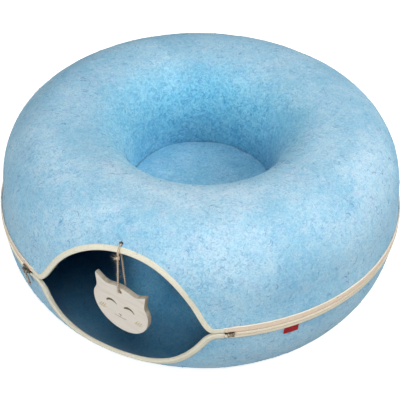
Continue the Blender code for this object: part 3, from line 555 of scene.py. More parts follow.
def quarter(start, end, fullness, steps):
    """A quarter superellipse that leaves start upright and meets end level."""
    points = []
    for step in range(steps + 1):
        angle = math.pi / 2.0 * step / steps
        across = math.cos(angle) ** (2.0 / fullness) if step < steps else 0.0
        along = math.sin(angle) ** (2.0 / fullness)
        points.append(
            (end[0] + (start[0] - end[0]) * across, start[1] + (end[1] - start[1]) * along)
        )
    return points


class Skin:
    """An outer face as a walk from the seam: places, normals and heights on it."""

    def __init__(self, points, turn=1.0):
        self.points = [Vector(point) for point in points]
        self.walk = walked(self.points, apart)
        self.normals = []
        for index in range(len(self.points)):
            before = self.points[max(index - 1, 0)]
            after = self.points[min(index + 1, len(self.points) - 1)]
            run = (after - before).normalized() * turn
            self.normals.append(Vector((run.y, -run.x)))
        self.normals[0] = Vector((1.0, 0.0))
        self.length = self.walk[-1]

    def at(self, walk):
        """The place and the normal at a length of the walk."""
        low, high = 0, len(self.walk) - 1
        while high - low > 1:
            middle = (low + high) // 2
            if self.walk[middle] <= walk:
                low = middle
            else:
                high = middle
        share = (walk - self.walk[low]) / (self.walk[high] - self.walk[low])
        spot = self.points[low].lerp(self.points[high], share)
        normal = self.normals[low].lerp(self.normals[high], share).normalized()
        return spot, normal

    def to_height(self, height):
        """How far along the walk the first side reaches a height."""
        sign = 1.0 if self.points[5].y > self.points[0].y else -1.0
        for index in range(len(self.points) - 1):
            low, high = self.points[index], self.points[index + 1]
            if sign * high.y >= sign * height:
                share = (height - low.y) / (high.y - low.y)
                return self.walk[index] + share * (self.walk[index + 1] - self.walk[index])
        return self.length

    def at_height(self, height):
        """The first place and normal at a height."""
        return self.at(self.to_height(height))


def upper_skin():
    """Seam, dome, crown and well, down to the well's hem."""
    dome = [(RING, SEAM), (BAND[0], SEAM + BAND[1])]
    dome += quarter(SHOULDER, CROWN, 2.1, 40)
    well = quarter((WELL, WELL_BEND), CROWN, 2.8, 40)[::-1]
    return Skin(dome + well[1:] + [(WELL, CENTRE_ZIP + HEM_RELIEF)])


def lower_skin():
    """Seam, side, foot and the hollow middle's wall, up to its top's edge."""
    side = [(RING, SEAM), (BAND[0], SEAM - BAND[1])]
    side += quarter(HAUNCH, (FOOT[0], 0.0), 1.9, 40)
    rise = quarter((WELL, NECK), (FOOT[1], 0.0), 2.6, 36)[::-1]
    top = [(WELL, PLATEAU - 2.5), (WELL - 0.7, PLATEAU - 0.7), (WELL - 2.5, PLATEAU)]
    inward = [(60.0, PLATEAU), (30.0, PLATEAU), (1.0, PLATEAU)]
    return Skin(side + rise + top + inward, -1.0)


def cubic(points, share):
    """A point on a cubic curve."""
    left = 1.0 - share
    weights = (left**3, 3.0 * left**2 * share, 3.0 * left * share**2, share**3)
    return (
        sum(weight * point[0] for weight, point in zip(weights, points)),
        sum(weight * point[1] for weight, point in zip(weights, points)),
    )


def sampled(curve, steps):
    """Points along a cubic curve, from end to end."""
    return [cubic(curve, step / steps) for step in range(steps + 1)]


def cut_edge(sizes):
    """The felt's cut edge, land to land: arcs from the middle, and rises off the seam."""
    height, shoulder, reach, angle, lean = sizes
    corner = (HALF_WIDTH, LAND_GAP)
    handle = (corner[0] - reach * math.cos(angle), corner[1] + reach * math.sin(angle))
    curve = ((0.0, height), (shoulder, height), handle, corner)
    half = [spot for spot in sampled(curve, 160) if math.dist(spot, corner) > RUN_OUT[0]]
    start, end = Vector(half[-1]), Vector((corner[0] + RUN_OUT[1], corner[1]))
    run = (start - Vector(half[-2])).normalized()
    span = (end - start).length
    controls = (start, start + run * (span * 0.62), end - Vector((span * 0.3, 0.0)), end)
    half += [(arc, max(rise, LAND_GAP)) for arc, rise in sampled(controls, 20)[1:]]
    edge = [(-(HALF_WIDTH + LEFT_LAND), LAND_GAP)]
    for arc, rise in [(-arc, rise) for arc, rise in half[:0:-1]] + half:
        share = min(abs(arc) / HALF_WIDTH, 1.0)
        edge.append((arc + lean * (1.0 - share**2), rise))
    edge.append((HALF_WIDTH + RIGHT_LAND, LAND_GAP))
    return edge


def rise_at(edge, arc):
    """The cut edge's rise at one arc."""
    for low, high in zip(edge, edge[1:]):
        if high[0] >= arc:
            span = max(high[0] - low[0], 1e-6)
            return low[1] + (high[1] - low[1]) * (arc - low[0]) / span
    return LAND_GAP


def arc_of(azimuth):
    """Arc from the entrance's middle, from half a turn left to half a turn right."""
    turn = (azimuth - ENTRANCE + math.pi) % (2.0 * math.pi) - math.pi
    return turn * RING


def hem_rise(edge, arc):
    """How far a felt hem stands off the seam, all the way round."""
    left, right = edge[0][0], edge[-1][0]
    if left < arc < right:
        return rise_at(edge, arc)
    beyond = min(max(left - arc, arc - right), 3.0) / 3.0
    return LAND_GAP + (HEM_RELIEF - LAND_GAP) * beyond


def ring_columns():
    """Azimuths round the ring, closer together across the entrance."""
    close, wide = math.radians(0.5), math.radians(1.2)
    close_start = ENTRANCE - math.radians(36.0)
    close_end = ENTRANCE + math.radians(34.0)
    end = close_start + 2.0 * math.pi
    columns, azimuth = [], close_start
    while azimuth < end - 1e-6:
        columns.append(azimuth)
        azimuth += close if azimuth < close_end else wide
    if end - columns[-1] < math.radians(0.4):
        columns.pop()
    return columns


def felt_half(name, skin, sizes, upper, materials):
    """One felt half as a closed skin with soft edges and a slightly uneven face."""
    edge = cut_edge(sizes)
    sign = 1.0 if upper else -1.0
    near, deep = SOFT_EDGE
    even_start, even_end, ramp = 3.0, 8.0, 14.0
    end = skin.length
    rings = []
    for azimuth in ring_columns():
        start = skin.to_height(SEAM + sign * hem_rise(edge, arc_of(azimuth)))
        row = [(start, -deep), (start + near, -near), (start + deep, 0.0)]
        inside = [(start + deep, -FELT), (start + near, near - FELT), (start, deep - FELT)]
        begin, stop = start + deep, end - deep if upper else end
        middle = [
            begin + (stop - begin) * step / FELT_STEPS for step in range(1, FELT_STEPS)
        ]
        row_end = []
        if upper:
            row_end = [(stop, 0.0), (end - near, -near), (end, -deep)]
            row_end += [(end, deep - FELT), (end - near, near - FELT), (stop, -FELT)]
        else:
            middle.append(end)
        places = row + [(walk, 0.0) for walk in middle] + row_end
        places += [(walk, -FELT) for walk in reversed(middle)] + inside
        ring = []
        for walk, lift in places:
            spot, normal = skin.at(min(walk, end))
            ease = held((walk - start - even_start) / ramp)
            if upper:
                ease *= held((end - even_end - walk) / ramp)
            elif spot.y < 12.0 or spot.x < WELL + 4.0:
                # Even on the foot and the middle's wall, and nearly so beside them
                ease *= 0.0 if spot.y < 3.0 or spot.x < WELL + 2.0 else 0.4
            point = around(azimuth, spot.x + normal.x * lift, spot.y + normal.y * lift)
            wave = noise.noise(point * 0.013) * 0.9 + noise.noise(point * 0.045) * 0.35
            away = ease * wave
            point += outward(azimuth) * (normal.x * away)
            point.z += normal.y * away
            ring.append(tuple(point))
        rings.append(ring)
    turn = 0 if upper else len(rings[0]) // 2
    item = skinned(name, rings, materials[0], closed_row=True, turn=turn)
    item.data.materials.append(materials[1])
    # Painted shade on the faces inside the tunnel
    paint_inside_shade(item)
    return item


def paint_inside_shade(item):
    """Give the faces that look into the tunnel a darker copy of the felt, as painted shade.
    """
    middle = Vector((CROWN[0], SEAM))
    for face in item.data.polygons:
        centre = Vector(face.center) / MM
        radius = math.hypot(centre.x, centre.y)
        out = Vector((centre.x, centre.y, 0.0)).normalized()
        flat = Vector((face.normal.dot(out), face.normal.z))
        toward = (middle - Vector((radius, centre.z))).normalized()
        if flat.dot(toward) > 0.05 and radius > WELL + 1.0:
            face.material_index = 1


# ---- bindings, tapes and their stitches ----


def edge_walk(sizes, step):
    """Even stations along a cut edge, land to land, as arc and rise, and its length."""
    points = cut_edge(sizes)
    walk = walked(points)
    stations = []
    for index, share in even_marks(walk, step):
        ends = zip(points[index], points[index + 1])
        stations.append(tuple(low + (high - low) * share for low, high in ends))
    return stations, walk[-1]


def skin_frame(skin, azimuth, height):
    """A place on the skin with its outward normal, both in space."""
    spot, normal = skin.at_height(height)
    place = around(azimuth, spot.x, spot.y)
    return place, outward(azimuth) * normal.x + Vector((0, 0, normal.y))


def edge_frames(skin, sizes, upper, step):
    """Along a cut edge: place, direction into the felt and walk so far."""
    sign = 1.0 if upper else -1.0
    stations, length = edge_walk(sizes, step)
    places = []
    for arc, rise in stations:
        azimuth = ENTRANCE + arc / RING
        places.append(skin_frame(skin, azimuth, SEAM + sign * rise))
    frames = []
    for index, (place, normal) in enumerate(places):
        before = places[max(index - 1, 0)][0]
        after = places[min(index + 1, len(places) - 1)][0]
        along = (after - before).normalized()
        into = normal.cross(along).normalized() * sign
        frames.append((place, into, length * index / (len(places) - 1)))
    return frames


def off_edge(skin, place, into, distance, lift):
    """A point a distance into the felt from its cut edge, and a lift off its face."""
    spot = place + into * distance
    azimuth = math.atan2(spot.x, -spot.y)
    base, normal = skin_frame(skin, azimuth, spot.z)
    return base + normal * lift


def binding(name, skin, sizes, upper, material):
    """Cotton tape folded over the cut edge, drawn in a little at each stitch."""
    near, top = LAP
    inside, thick = -(FELT + top), top - near
    shape = [(COVER, near), (COVER + 0.1, near + 0.25), (COVER, top)]
    shape += [(COVER * 0.75, top - 0.03), (COVER * 0.5, top + 0.08)]
    shape += [(COVER * 0.25, top + 0.1), (0.0, top + 0.03), (-0.45, top - 0.12)]
    shape += [(-0.75, top - 0.5), (-0.88, -0.3)]
    shape += [(-0.92, -FELT / 2.0), (-0.88, 0.3 - FELT), (-0.75, inside + 0.5)]
    shape += [(-0.45, inside + 0.12), (0.0, inside - 0.03), (COVER * 0.5, inside - 0.08)]
    shape += [(COVER * 0.75, inside + 0.03), (COVER, inside), (COVER, inside + thick)]
    shape += [(0.0, inside + thick), (-0.3, inside + thick + 0.25)]
    shape += [(-0.3, near - 0.25), (0.0, near)]
    reach = walked(shape)
    rings, weave = [], []
    for place, into, walk in edge_frames(skin, sizes, upper, BINDING_STEP):
        pinch = 0.07 * math.cos(2.0 * math.pi * walk / BINDING_STITCH)
        ring = []
        for (distance, lift), across in zip(shape, reach):
            outer = lift > near and distance > 0.5
            swell = -pinch if outer and distance > COVER * 0.6 else pinch * 0.5
            wander = 0.12 * noise.noise(place * 0.06 + into * distance * 0.1)
            shift = swell + wander if outer else wander
            point = off_edge(skin, place, into, distance, lift + max(shift, -0.2))
            ring.append(tuple(point))
            weave.append((walk, across))
        rings.append(ring)
    return skinned(name, rings, material, weave=weave)


def stitch_paths(name, paths):
    """Edges for the stitching trees to follow."""
    verts, edges = [], []
    for path in paths:
        first = len(verts)
        verts += [tuple(c * MM for c in point) for point in path]
        edges += [(index, index + 1) for index in range(first, len(verts) - 1)]
    mesh = bpy.data.meshes.new(name)
    mesh.from_pydata(verts, edges, [])
    return placed(name, mesh)


def new_tree(name, *sizes):
    """A tree that turns a shape into another by sizes and a finish, and its inputs."""
    tree = bpy.data.node_groups.new(name, "GeometryNodeTree")
    kinds = {"Geometry": "Geometry", "Seed": "Int", "Finish": "Material"}
    sockets = [(title, "INPUT") for title in ("Geometry", *sizes, "Finish")]
    for title, side in (*sockets, ("Geometry", "OUTPUT")):
        kind = "NodeSocket" + kinds.get(title, "Float")
        tree.interface.new_socket(name=title, in_out=side, socket_type=kind)
    return tree, tree.nodes.new("NodeGroupInput").outputs


def set_out(tree, given, inputs):
    """Copy a shape to points as a real mesh in the finish, and end the tree."""
    copies = wired(tree, "GeometryNodeInstanceOnPoints", inputs)["Instances"]
    real = wired(tree, "GeometryNodeRealizeInstances", {"Geometry": copies})["Geometry"]
    inputs = {"Geometry": real, "Material": given["Finish"]}
    coloured = wired(tree, "GeometryNodeSetMaterial", inputs)["Geometry"]
    wired(tree, "NodeGroupOutput", {"Geometry": coloured})


def run_tree():
    """Beads repeated along a path, such as stitches and zip teeth."""
    tree, given = new_tree("repeat_along_path", "Pitch", "Depth", "Height", "Length")
    path = wired(tree, "GeometryNodeMeshToCurve", {"Mesh": given["Geometry"]})["Curve"]
    path = wired(tree, "GeometryNodeSetCurveNormal", {"Curve": path}, mode="Z_UP")["Curve"]
    inputs = {"Curve": path, "Length": given["Pitch"]}
    spots = wired(tree, "GeometryNodeCurveToPoints", inputs, mode="LENGTH")
    inputs = {"Segments": 6, "Rings": 4, "Radius": 0.5}
    bead = wired(tree, "GeometryNodeMeshUVSphere", inputs)["Mesh"]
    inputs = {"X": given["Depth"], "Y": given["Height"], "Z": given["Length"]}
    size = wired(tree, "ShaderNodeCombineXYZ", inputs)["Vector"]
    shape = wired(tree, "GeometryNodeTransform", {"Geometry": bead, "Scale": size})
    inputs = {"Points": spots["Points"], "Rotation": spots["Rotation"]}
    set_out(tree, given, inputs | {"Instance": shape["Geometry"]})
    return tree


def fibre_tree():
    """Short curled fibres scattered over a surface."""
    sizes = ("Density", "Curl", "Sweep", "Thickness", "Tilt", "Seed")
    tree, given = new_tree("stray_fibres", *sizes)
    inputs = {"Mesh": given["Geometry"], "Density": given["Density"], "Seed": given["Seed"]}
    spread = wired(tree, "GeometryNodeDistributePointsOnFaces", inputs)
    inputs = {"Resolution": 6, "Radius": given["Curl"], "Sweep Angle": given["Sweep"]}
    bow = wired(tree, "GeometryNodeCurveArc", inputs)["Curve"]
    inputs = {"Resolution": 3, "Radius": given["Thickness"]}
    girth = wired(tree, "GeometryNodeCurvePrimitiveCircle", inputs)["Curve"]
    tube = wired(tree, "GeometryNodeCurveToMesh", {"Curve": bow, "Profile Curve": girth})
    inputs = {0: given["Curl"], 1: -1.0}
    minus = wired(tree, "ShaderNodeMath", inputs, operation="MULTIPLY")["Value"]
    back = wired(tree, "ShaderNodeCombineXYZ", {"X": minus, "Z": given["Thickness"]})
    inputs = {"Geometry": tube["Mesh"], "Translation": back["Vector"]}
    fibre = wired(tree, "GeometryNodeTransform", inputs)["Geometry"]
    spin = wired(tree, "FunctionNodeRandomValue", {3: 2.0 * math.pi}, data_type="FLOAT")[1]
    turn = wired(tree, "ShaderNodeCombineXYZ", {"X": given["Tilt"], "Z": spin})["Vector"]
    euler = wired(tree, "FunctionNodeEulerToRotation", {"Euler": turn})["Rotation"]
    inputs = {"Rotation": spread["Rotation"], "Rotate By": euler}
    lie = wired(tree, "FunctionNodeRotateRotation", inputs, rotation_space="LOCAL")
    scale = wired(tree, "FunctionNodeRandomValue", {2: 0.5, 3: 1.3}, data_type="FLOAT")[1]
    inputs = {"Points": spread["Points"], "Instance": fibre}
    set_out(tree, given, inputs | {"Rotation": lie["Rotation"], "Scale": scale})
    return tree


def grown(name, base, tree, **values):
    """Run a tree on a helper shape and keep what it makes."""
    modifier = base.modifiers.new("grow", "NODES")
    modifier.node_group = tree
    for entry in tree.interface.items_tree:
        if entry.item_type == "SOCKET" and entry.in_out == "INPUT":
            key = entry.name.lower()
            if key in values:
                modifier[entry.identifier] = values[key]
    item = finished(base, name)
    slots = item.data.materials
    if slots:
        slots[0] = values["finish"]
    else:
        slots.append(values["finish"])
    item.data.shade_smooth()
    return item


def beads(name, paths, tree, material, pitch, length, depth, height):
    """Stitches or loops of a coil along paths, all in millimetres."""
    return grown(
        name,
        stitch_paths(f"{name}_line", paths),
        tree,
        pitch=pitch * MM,
        depth=depth * MM,
        height=height * MM,
        length=length * MM,
        finish=material,
    )


def strip(name, shape, start, end, material, tuck=0.0):
    """A tape swept round the ring, its ends tucked in under what covers them."""
    count = max(2, round(math.degrees(end - start)))
    reach = walked(shape)
    close, sinks_from, narrows_from, narrowing = (1.4, 2.9), 4.2, 12.0, 0.2
    azimuths = [start + (end - start) * number / count for number in range(count + 1)]
    if tuck:
        azimuths[1:1] = [start + arc / RING for arc in close]
        azimuths[-1:-1] = [end - arc / RING for arc in reversed(close)]
    rings, weave = [], []
    for azimuth in azimuths:
        room = min(azimuth - start, end - azimuth) * RING
        sink = tuck * max(0.0, 1.0 - room / sinks_from)
        width = 1.0 - narrowing * max(0.0, 1.0 - room / narrows_from) * min(tuck, 1.0)
        ring = []
        for (radius, height), across in zip(shape, reach):
            level = SEAM + (height - SEAM) * width if tuck else height
            ring.append(tuple(around(azimuth, radius - sink, level)))
            weave.append((azimuth * shape[0][0], across))
        rings.append(ring)
    return skinned(name, rings, material, weave=weave)


def tape_shape(skin, low, high, bead, bead_up):
    """A tape lying on a skin, with soft edges and a corded selvedge."""
    outer, inner = [], []
    steps, far = 8, TAPE_GAP + TAPE
    for step in range(steps + 1):
        height = low + (high - low) * step / steps
        spot, normal = skin.at_height(height)
        edge = step in (0, steps)
        at_bead = step >= steps - 1 if bead_up else step <= 1
        lift = far - 0.25 if edge else far
        if at_bead:
            lift += bead * (0.5 if edge else 1.0)
        outer.append((spot.x + normal.x * lift, height))
        inner.append((spot.x + normal.x * TAPE_GAP, height))
    return outer + inner[::-1]


def ring_line(radius, height, start, end, step=1.0):
    """A line round the ring, in millimetres."""
    count = max(2, round(math.degrees(end - start) / step))
    return [
        tuple(around(start + (end - start) * number / count, radius, height))
        for number in range(count + 1)
    ]


def coil_row(name, radius, height, start, end, offset, tree, material):
    """One row of a nylon coil, its loops reaching between those of the other."""
    shift = offset / radius
    line = ring_line(radius, height, start + shift, end - 0.6 / radius + shift, 0.5)
    sizes = {"pitch": COIL_PITCH, "length": 0.98, "depth": 2.1, "height": 2.5}
    return beads(name, [line], tree, material, **sizes)


# ---- pad, toy, twine and label ----


def pad_cushion(material):
    """The round pad: sewn flat, then filled so that it swells as cloth does."""
    floor, radius, edge, crown, bend = 104.8, 88.35, 12.3, 0.9, 1.8
    rim = radius - bend
    angles = [math.pi / 2.0 * step / 6 for step in range(7)]
    profile = [(0.0, floor), (30.0, floor), (60.0, floor), (rim, floor)]
    for angle in angles[1:]:
        rise = bend * (1.0 - math.cos(angle))
        profile.append((rim + bend * math.sin(angle), floor + rise))
    for angle in angles:
        rise = bend * math.sin(angle)
        profile.append((rim + bend * math.cos(angle), floor + edge - bend + rise))
    for step in range(1, 13):
        share = 1.0 - step / 12
        rise = crown * (1.0 - share**2)
        profile.append((rim * share, floor + edge + rise))
    columns, verts, faces = 96, [], []
    for column in range(columns):
        azimuth = 2.0 * math.pi * column / columns
        for reach, height in profile[1:-1]:
            point = around(azimuth, reach / SMOOTH_RING, height)
            ease = held((height - floor - 6.0) / 6.0)
            point.z += ease * (noise.noise(point * 0.03) * 0.5 - 0.25)
            verts.append(tuple(point))
    count = len(profile) - 2
    sides = [(column, (column + 1) % columns) for column in range(columns)]
    for column, after in sides:
        for index in range(count - 1):
            low, high = (column, index), (after, index)
            faces.append(quad(count, low, high, (after, index + 1), (column, index + 1)))
    verts += [(0.0, 0.0, floor), (0.0, 0.0, floor + edge + crown - 0.25)]
    for column, after in sides:
        faces.append((len(verts) - 2, after * count, column * count))
        faces.append(
            (len(verts) - 1, column * count + count - 1, after * count + count - 1)
        )
    item = made("pad_cushion", verts, faces, material)
    face_outwards(item)
    item = swollen(item, cap=1.2, floor=104.75, radius=88.5, top=118.2)
    return item


def swollen(item, cap, floor, radius, top):
    """Let a closed cushion fill out as cloth, inside the room that it has."""
    voxel, pressure, frames = 0.0034, 4.0, 20
    rim_reach, rim_pull = 3.4, 0.75
    remesh = item.modifiers.new("even_cloth", "REMESH")
    remesh.mode = "VOXEL"
    remesh.voxel_size = voxel
    item = finished(item)
    cloth = item.modifiers.new("filling", "CLOTH")
    cloth.settings.use_pressure = True
    cloth.settings.uniform_pressure_force = pressure
    cloth.settings.effector_weights.gravity = 0.0
    scene = bpy.context.scene
    for number in range(1, frames + 1):
        scene.frame_set(number)
    graph = bpy.context.evaluated_depsgraph_get()
    filled = bpy.data.meshes.new_from_object(item.evaluated_get(graph))
    item.modifiers.clear()
    corner = Vector((radius + 0.3, top - 0.7))
    for vert, other in zip(item.data.vertices, filled.vertices):
        shift = other.co - vert.co
        shift *= min(1.0, cap * MM / max(shift.length, 1e-9))
        spot = vert.co + shift
        reach, least = math.hypot(spot.x, spot.y), math.hypot(vert.co.x, vert.co.y)
        ease = min(max(reach, least), radius * MM) / max(reach, 1e-9)
        height = min(max(spot.z, floor * MM), top * MM)
        vert.co = (spot.x * ease, spot.y * ease, height)
        flat = Vector((math.hypot(vert.co.x, vert.co.y), vert.co.z)) / MM
        pull = corner - flat
        if pull.length < rim_reach:
            flat += pull * rim_pull
            ease = flat.x * MM / max(math.hypot(vert.co.x, vert.co.y), 1e-9)
            vert.co = (vert.co.x * ease, vert.co.y * ease, flat.y * MM)
    scene.frame_set(1)
    smooth = item.modifiers.new("smooth", "SUBSURF")
    smooth.levels = smooth.render_levels = 1
    item = finished(item)
    item.data.shade_smooth()
    return item


def toy_pose():
    """The toy's hole at its face, and the ways across the face and out of it."""
    azimuth, radius, height = TOY_MOUTH
    mouth = outward(azimuth) * radius
    mouth.z = height
    across = Vector((math.cos(TOY_FACING), math.sin(TOY_FACING), 0.0))
    return mouth, across, outward(TOY_FACING)


def on_face(across_mm, up_mm, lift=0.0):
    """A place on the toy's front face."""
    mouth, across, facing = toy_pose()
    return mouth + across * across_mm + facing * lift + Vector((0.0, 0.0, up_mm))


def wooden_cat(face, edge):
    """The cat face cut from board, its edges eased, with the hanging hole."""
    half = []
    for curve in CAT_OUTLINE_SHARES:
        half += sampled(curve, 12)[:-1]
    half.append(CAT_OUTLINE_SHARES[-1][-1])
    outline = half + [(-across, up) for across, up in half[-2:0:-1]]
    shape = bpy.data.curves.new("cat_shape", "CURVE")
    shape.dimensions = "2D"
    shape.fill_mode = "BOTH"
    round_over = 0.9
    shape.extrude = (TOY_THICKNESS / 2.0 - round_over) * MM
    shape.bevel_depth = round_over * MM
    shape.bevel_resolution = 3
    shape.offset = -round_over * MM
    loops = [[(a * TOY_HALF_WIDTH, u * TOY_HEIGHT) for a, u in outline]]
    hole, turns = TOY_HOLE_RADIUS, [-2.0 * math.pi * step / 24 for step in range(24)]
    loops.append([(hole * math.cos(turn), hole * math.sin(turn)) for turn in turns])
    for loop in loops:
        spline = shape.splines.new("POLY")
        spline.points.add(len(loop) - 1)
        spline.use_cyclic_u = True
        for point, (across, up) in zip(spline.points, loop):
            point.co = (across * MM, up * MM, 0.0, 1.0)
    board = placed("cat_shape", shape)
    mouth, across, facing = toy_pose()
    middle = (mouth - facing * (TOY_THICKNESS / 2.0)) * MM
    up = Vector((0.0, 0.0, 1.0))
    rotation = Matrix((across, up, facing)).transposed().to_4x4()
    board.matrix_world = Matrix.Translation(middle) @ rotation
    shape.materials.append(face)
    item = finished(board, "wooden_cat")
    item.data.materials.append(edge)
    for polygon in item.data.polygons:
        if abs(polygon.normal.dot(facing)) < 0.55:
            polygon.material_index = 1
    item.data.shade_smooth()
    item.data.set_sharp_from_angle(angle=math.radians(50.0))
    return item


def brush_stroke(points, widths):
    """One burnt or painted line on the toy's face, thin and slightly raised."""
    verts, faces = [], []
    count, sunk, raised = len(points), -0.05, 0.06
    for index, (point, width) in enumerate(zip(points, widths)):
        before, after = points[max(index - 1, 0)], points[min(index + 1, count - 1)]
        run = Vector((after[0] - before[0], after[1] - before[1])).normalized()
        side = Vector((-run.y, run.x)) * (width / 2.0)
        for turn in (-1.0, 1.0):
            for height in (sunk, raised):
                spot = on_face(point[0] + side.x * turn, point[1] + side.y * turn, height)
                verts.append(tuple(spot))
    for index in range(count - 1):
        base = index * 4
        for first, second in ((0, 1), (1, 3), (3, 2), (2, 0)):
            faces.append((base + first, base + second, base + second + 4, base + first + 4))
    faces.append((0, 2, 3, 1))
    last = (count - 1) * 4
    faces.append((last, last + 1, last + 3, last + 2))
    return verts, faces


def cat_features(dark, blush):
    """Closed smiling eyes, a small nose and mouth, and blushes on the cheeks."""
    strokes = []
    for side in (-1.0, 1.0):
        curve = ((19.9, -23.2), (16.9, -17.0), (9.9, -17.2), (4.9, -21.8))
        lid = sampled(curve, 16)
        widths = []
        for step in range(17):
            share = step / 16 if side < 0.0 else 1.0 - step / 16
            widths.append(0.45 + 2.5 * math.sin(math.pi * share**0.7) ** 0.8)
        strokes.append(([(side * a, u) for a, u in lid], widths))
        lip = sampled(((0.0, -38.2), (2.4, -38.9), (5.4, -38.7), (8.4, -37.8)), 8)
        strokes.append(([(side * a, u) for a, u in lip], [0.42] * 8 + [0.2]))
    nose = [(-2.2, -34.2), (-1.0, -34.8), (0.0, -35.3), (1.0, -34.8), (2.2, -34.2)]
    strokes.append((nose, [0.5, 0.9, 1.3, 0.9, 0.5]))
    strokes.append(([(0.0, -35.3), (0.0, -36.9), (0.0, -38.4)], [0.4, 0.3, 0.35]))
    marks = drawn("cat_features", strokes, dark)
    hatches = []
    cheek, level, gap, lean, rise = 26.0, -33.2, 2.9, 1.9, 3.1
    for side in (-1.0, 1.0):
        for turn in (-1.0, 0.0, 1.0):
            middle = side * cheek + turn * gap
            shares = [step / 2.0 - 1.0 for step in range(5)]
            points = [(middle + lean * share, level + rise * share) for share in shares]
            hatches.append((points, [0.5, 1.1, 1.3, 1.1, 0.5]))
        bow = sampled(((-5.6, -1.6), (-2.4, -4.8), (2.4, -4.8), (5.6, -1.6)), 8)
        hatches.append(([(side * cheek + a, u - 32.6) for a, u in bow], [0.6] * 9))
    return marks, drawn("cat_blushes", hatches, blush)


def drawn(name, strokes, material):
    """Several burnt or painted lines as one piece."""
    verts, faces = [], []
    for points, widths in strokes:
        new_verts, new_faces = brush_stroke(points, widths)
        faces += [tuple(index + len(verts) for index in face) for face in new_faces]
        verts += new_verts
    item = made(name, verts, faces, material)
    face_outwards(item)
    return item


def smooth_points(route, spacing):
    """Even points along a smooth curve through the route, and its length."""
    steps, dense = 40, []
    ends = [route[0] * 2.0 - route[1]] + route + [route[-1] * 2.0 - route[-2]]
    for before, first, second, after in zip(ends, ends[1:], ends[2:], ends[3:]):
        span = (second - first).length
        slope_in = (second - before).normalized() * span
        slope_out = (after - first).normalized() * span
        for step in range(steps):
            share = step / steps
            square, cube = share**2, share**3
            point = first * (2.0 * cube - 3.0 * square + 1.0)
            point += slope_in * (cube - 2.0 * square + share)
            point += second * (3.0 * square - 2.0 * cube)
            point += slope_out * (cube - square)
            dense.append(point)
    dense.append(route[-1])
    walk = walked(dense, apart)
    points = []
    for index, share in even_marks(walk, spacing):
        points.append(dense[index].lerp(dense[index + 1], share))
    return points, walk[-1]


def cord_tube(name, points, radius, material, sides=12, taper=None):
    """A round cord along points, with its length and girth as a weave map."""
    rings, weave = [], []
    normal = None
    for index, (point, walk) in enumerate(zip(points, walked(points, apart))):
        before, after = points[max(index - 1, 0)], points[min(index + 1, len(points) - 1)]
        along = (after - before).normalized()
        if normal is None:
            normal = along.orthogonal().normalized()
        normal = (normal - along * normal.dot(along)).normalized()
        side = along.cross(normal)
        girth = radius * (taper[index] if taper else 1.0)
        ring = []
        for step in range(sides):
            angle = 2.0 * math.pi * step / sides
            way = normal * math.cos(angle) + side * math.sin(angle)
            ring.append(tuple(point + way * girth))
            weave.append((walk, step / sides))
        rings.append(ring)
    return skinned(name, rings, material, weave=weave)


def tied_knot(knot, run, material):
    """A small overhand knot on the front strand, with two tails that fray."""
    left = Vector((-math.cos(ENTRANCE), -math.sin(ENTRANCE), 0.0))
    front = left.cross(run).normalized()
    if front.y > 0.0:
        front.negate()
    wraps = []
    for step in range(49):
        angle = 4.0 * math.pi * step / 48
        reach = 1.15 + 0.35 * math.cos(1.5 * angle)
        height = 1.15 * math.sin(1.5 * angle)
        spot = knot + left * (reach * math.cos(angle)) + front * (reach * math.sin(angle))
        wraps.append(spot - run * height)
    items = [cord_tube("knot_wraps", wraps, 0.85, material, 8)]
    tails = (
        (0.6, 5.6, 0.62), (4.2, 4.8, 0.55), (-2.2, 4.4, 0.24), (2.2, 8.2, 0.2),
        (-4.6, 5.8, 0.18), (6.6, 6.6, 0.2), (-0.4, 8.6, 0.16), (5.2, 8.4, 0.15),
    )
    for number, (drop, length, girth) in enumerate(tails):
        tail = []
        for step in range(9):
            share = step / 8
            wave = 0.6 * math.sin(3.0 * share + number)
            spot = knot + left * (0.6 + length * share)
            spot += front * (0.8 - 0.8 * share + wave * share)
            tail.append(spot + run * ((drop + wave) * share))
        taper = [1.0 - 0.6 * step / 8 for step in range(9)]
        items.append(cord_tube(f"knot_tail_{number}", tail, girth, material, 8, taper))
    return joined("tied_knot", items)


def folded_label(skin, material):
    """A plain woven label, folded double and hanging from under the tape."""
    azimuth = math.radians(25.0)
    width, top, length = 18.0, 95.95, 10.5
    columns, rows = 18, 12
    rings, weave = [], []
    for column in range(columns + 1):
        share = column / columns - 0.5
        turn = azimuth + share * width / RING
        front, back = [], []
        for row in range(rows + 1):
            drop = length * row / rows
            spot, normal = skin.at_height(top - drop)
            belly = 0.35 * math.sin(math.pi * row / rows) + 0.08 * math.cos(6.0 * share)
            hem = 0.12 if row == rows else 0.0
            for side, lift, walk in (
                (front, TAPE_GAP + 0.45 + belly, drop),
                (back, TAPE_GAP - 0.15 + hem, 2.0 * length - drop),
            ):
                point = around(turn, spot.x + normal.x * lift, top - drop)
                side.append((tuple(point), (share * width, walk)))
        places = front + back[::-1]
        rings.append([point for point, _ in places])
        weave += [spot for _, spot in places]
    return skinned("folded_label", rings, material, weave=weave)


# ---- putting it together ----


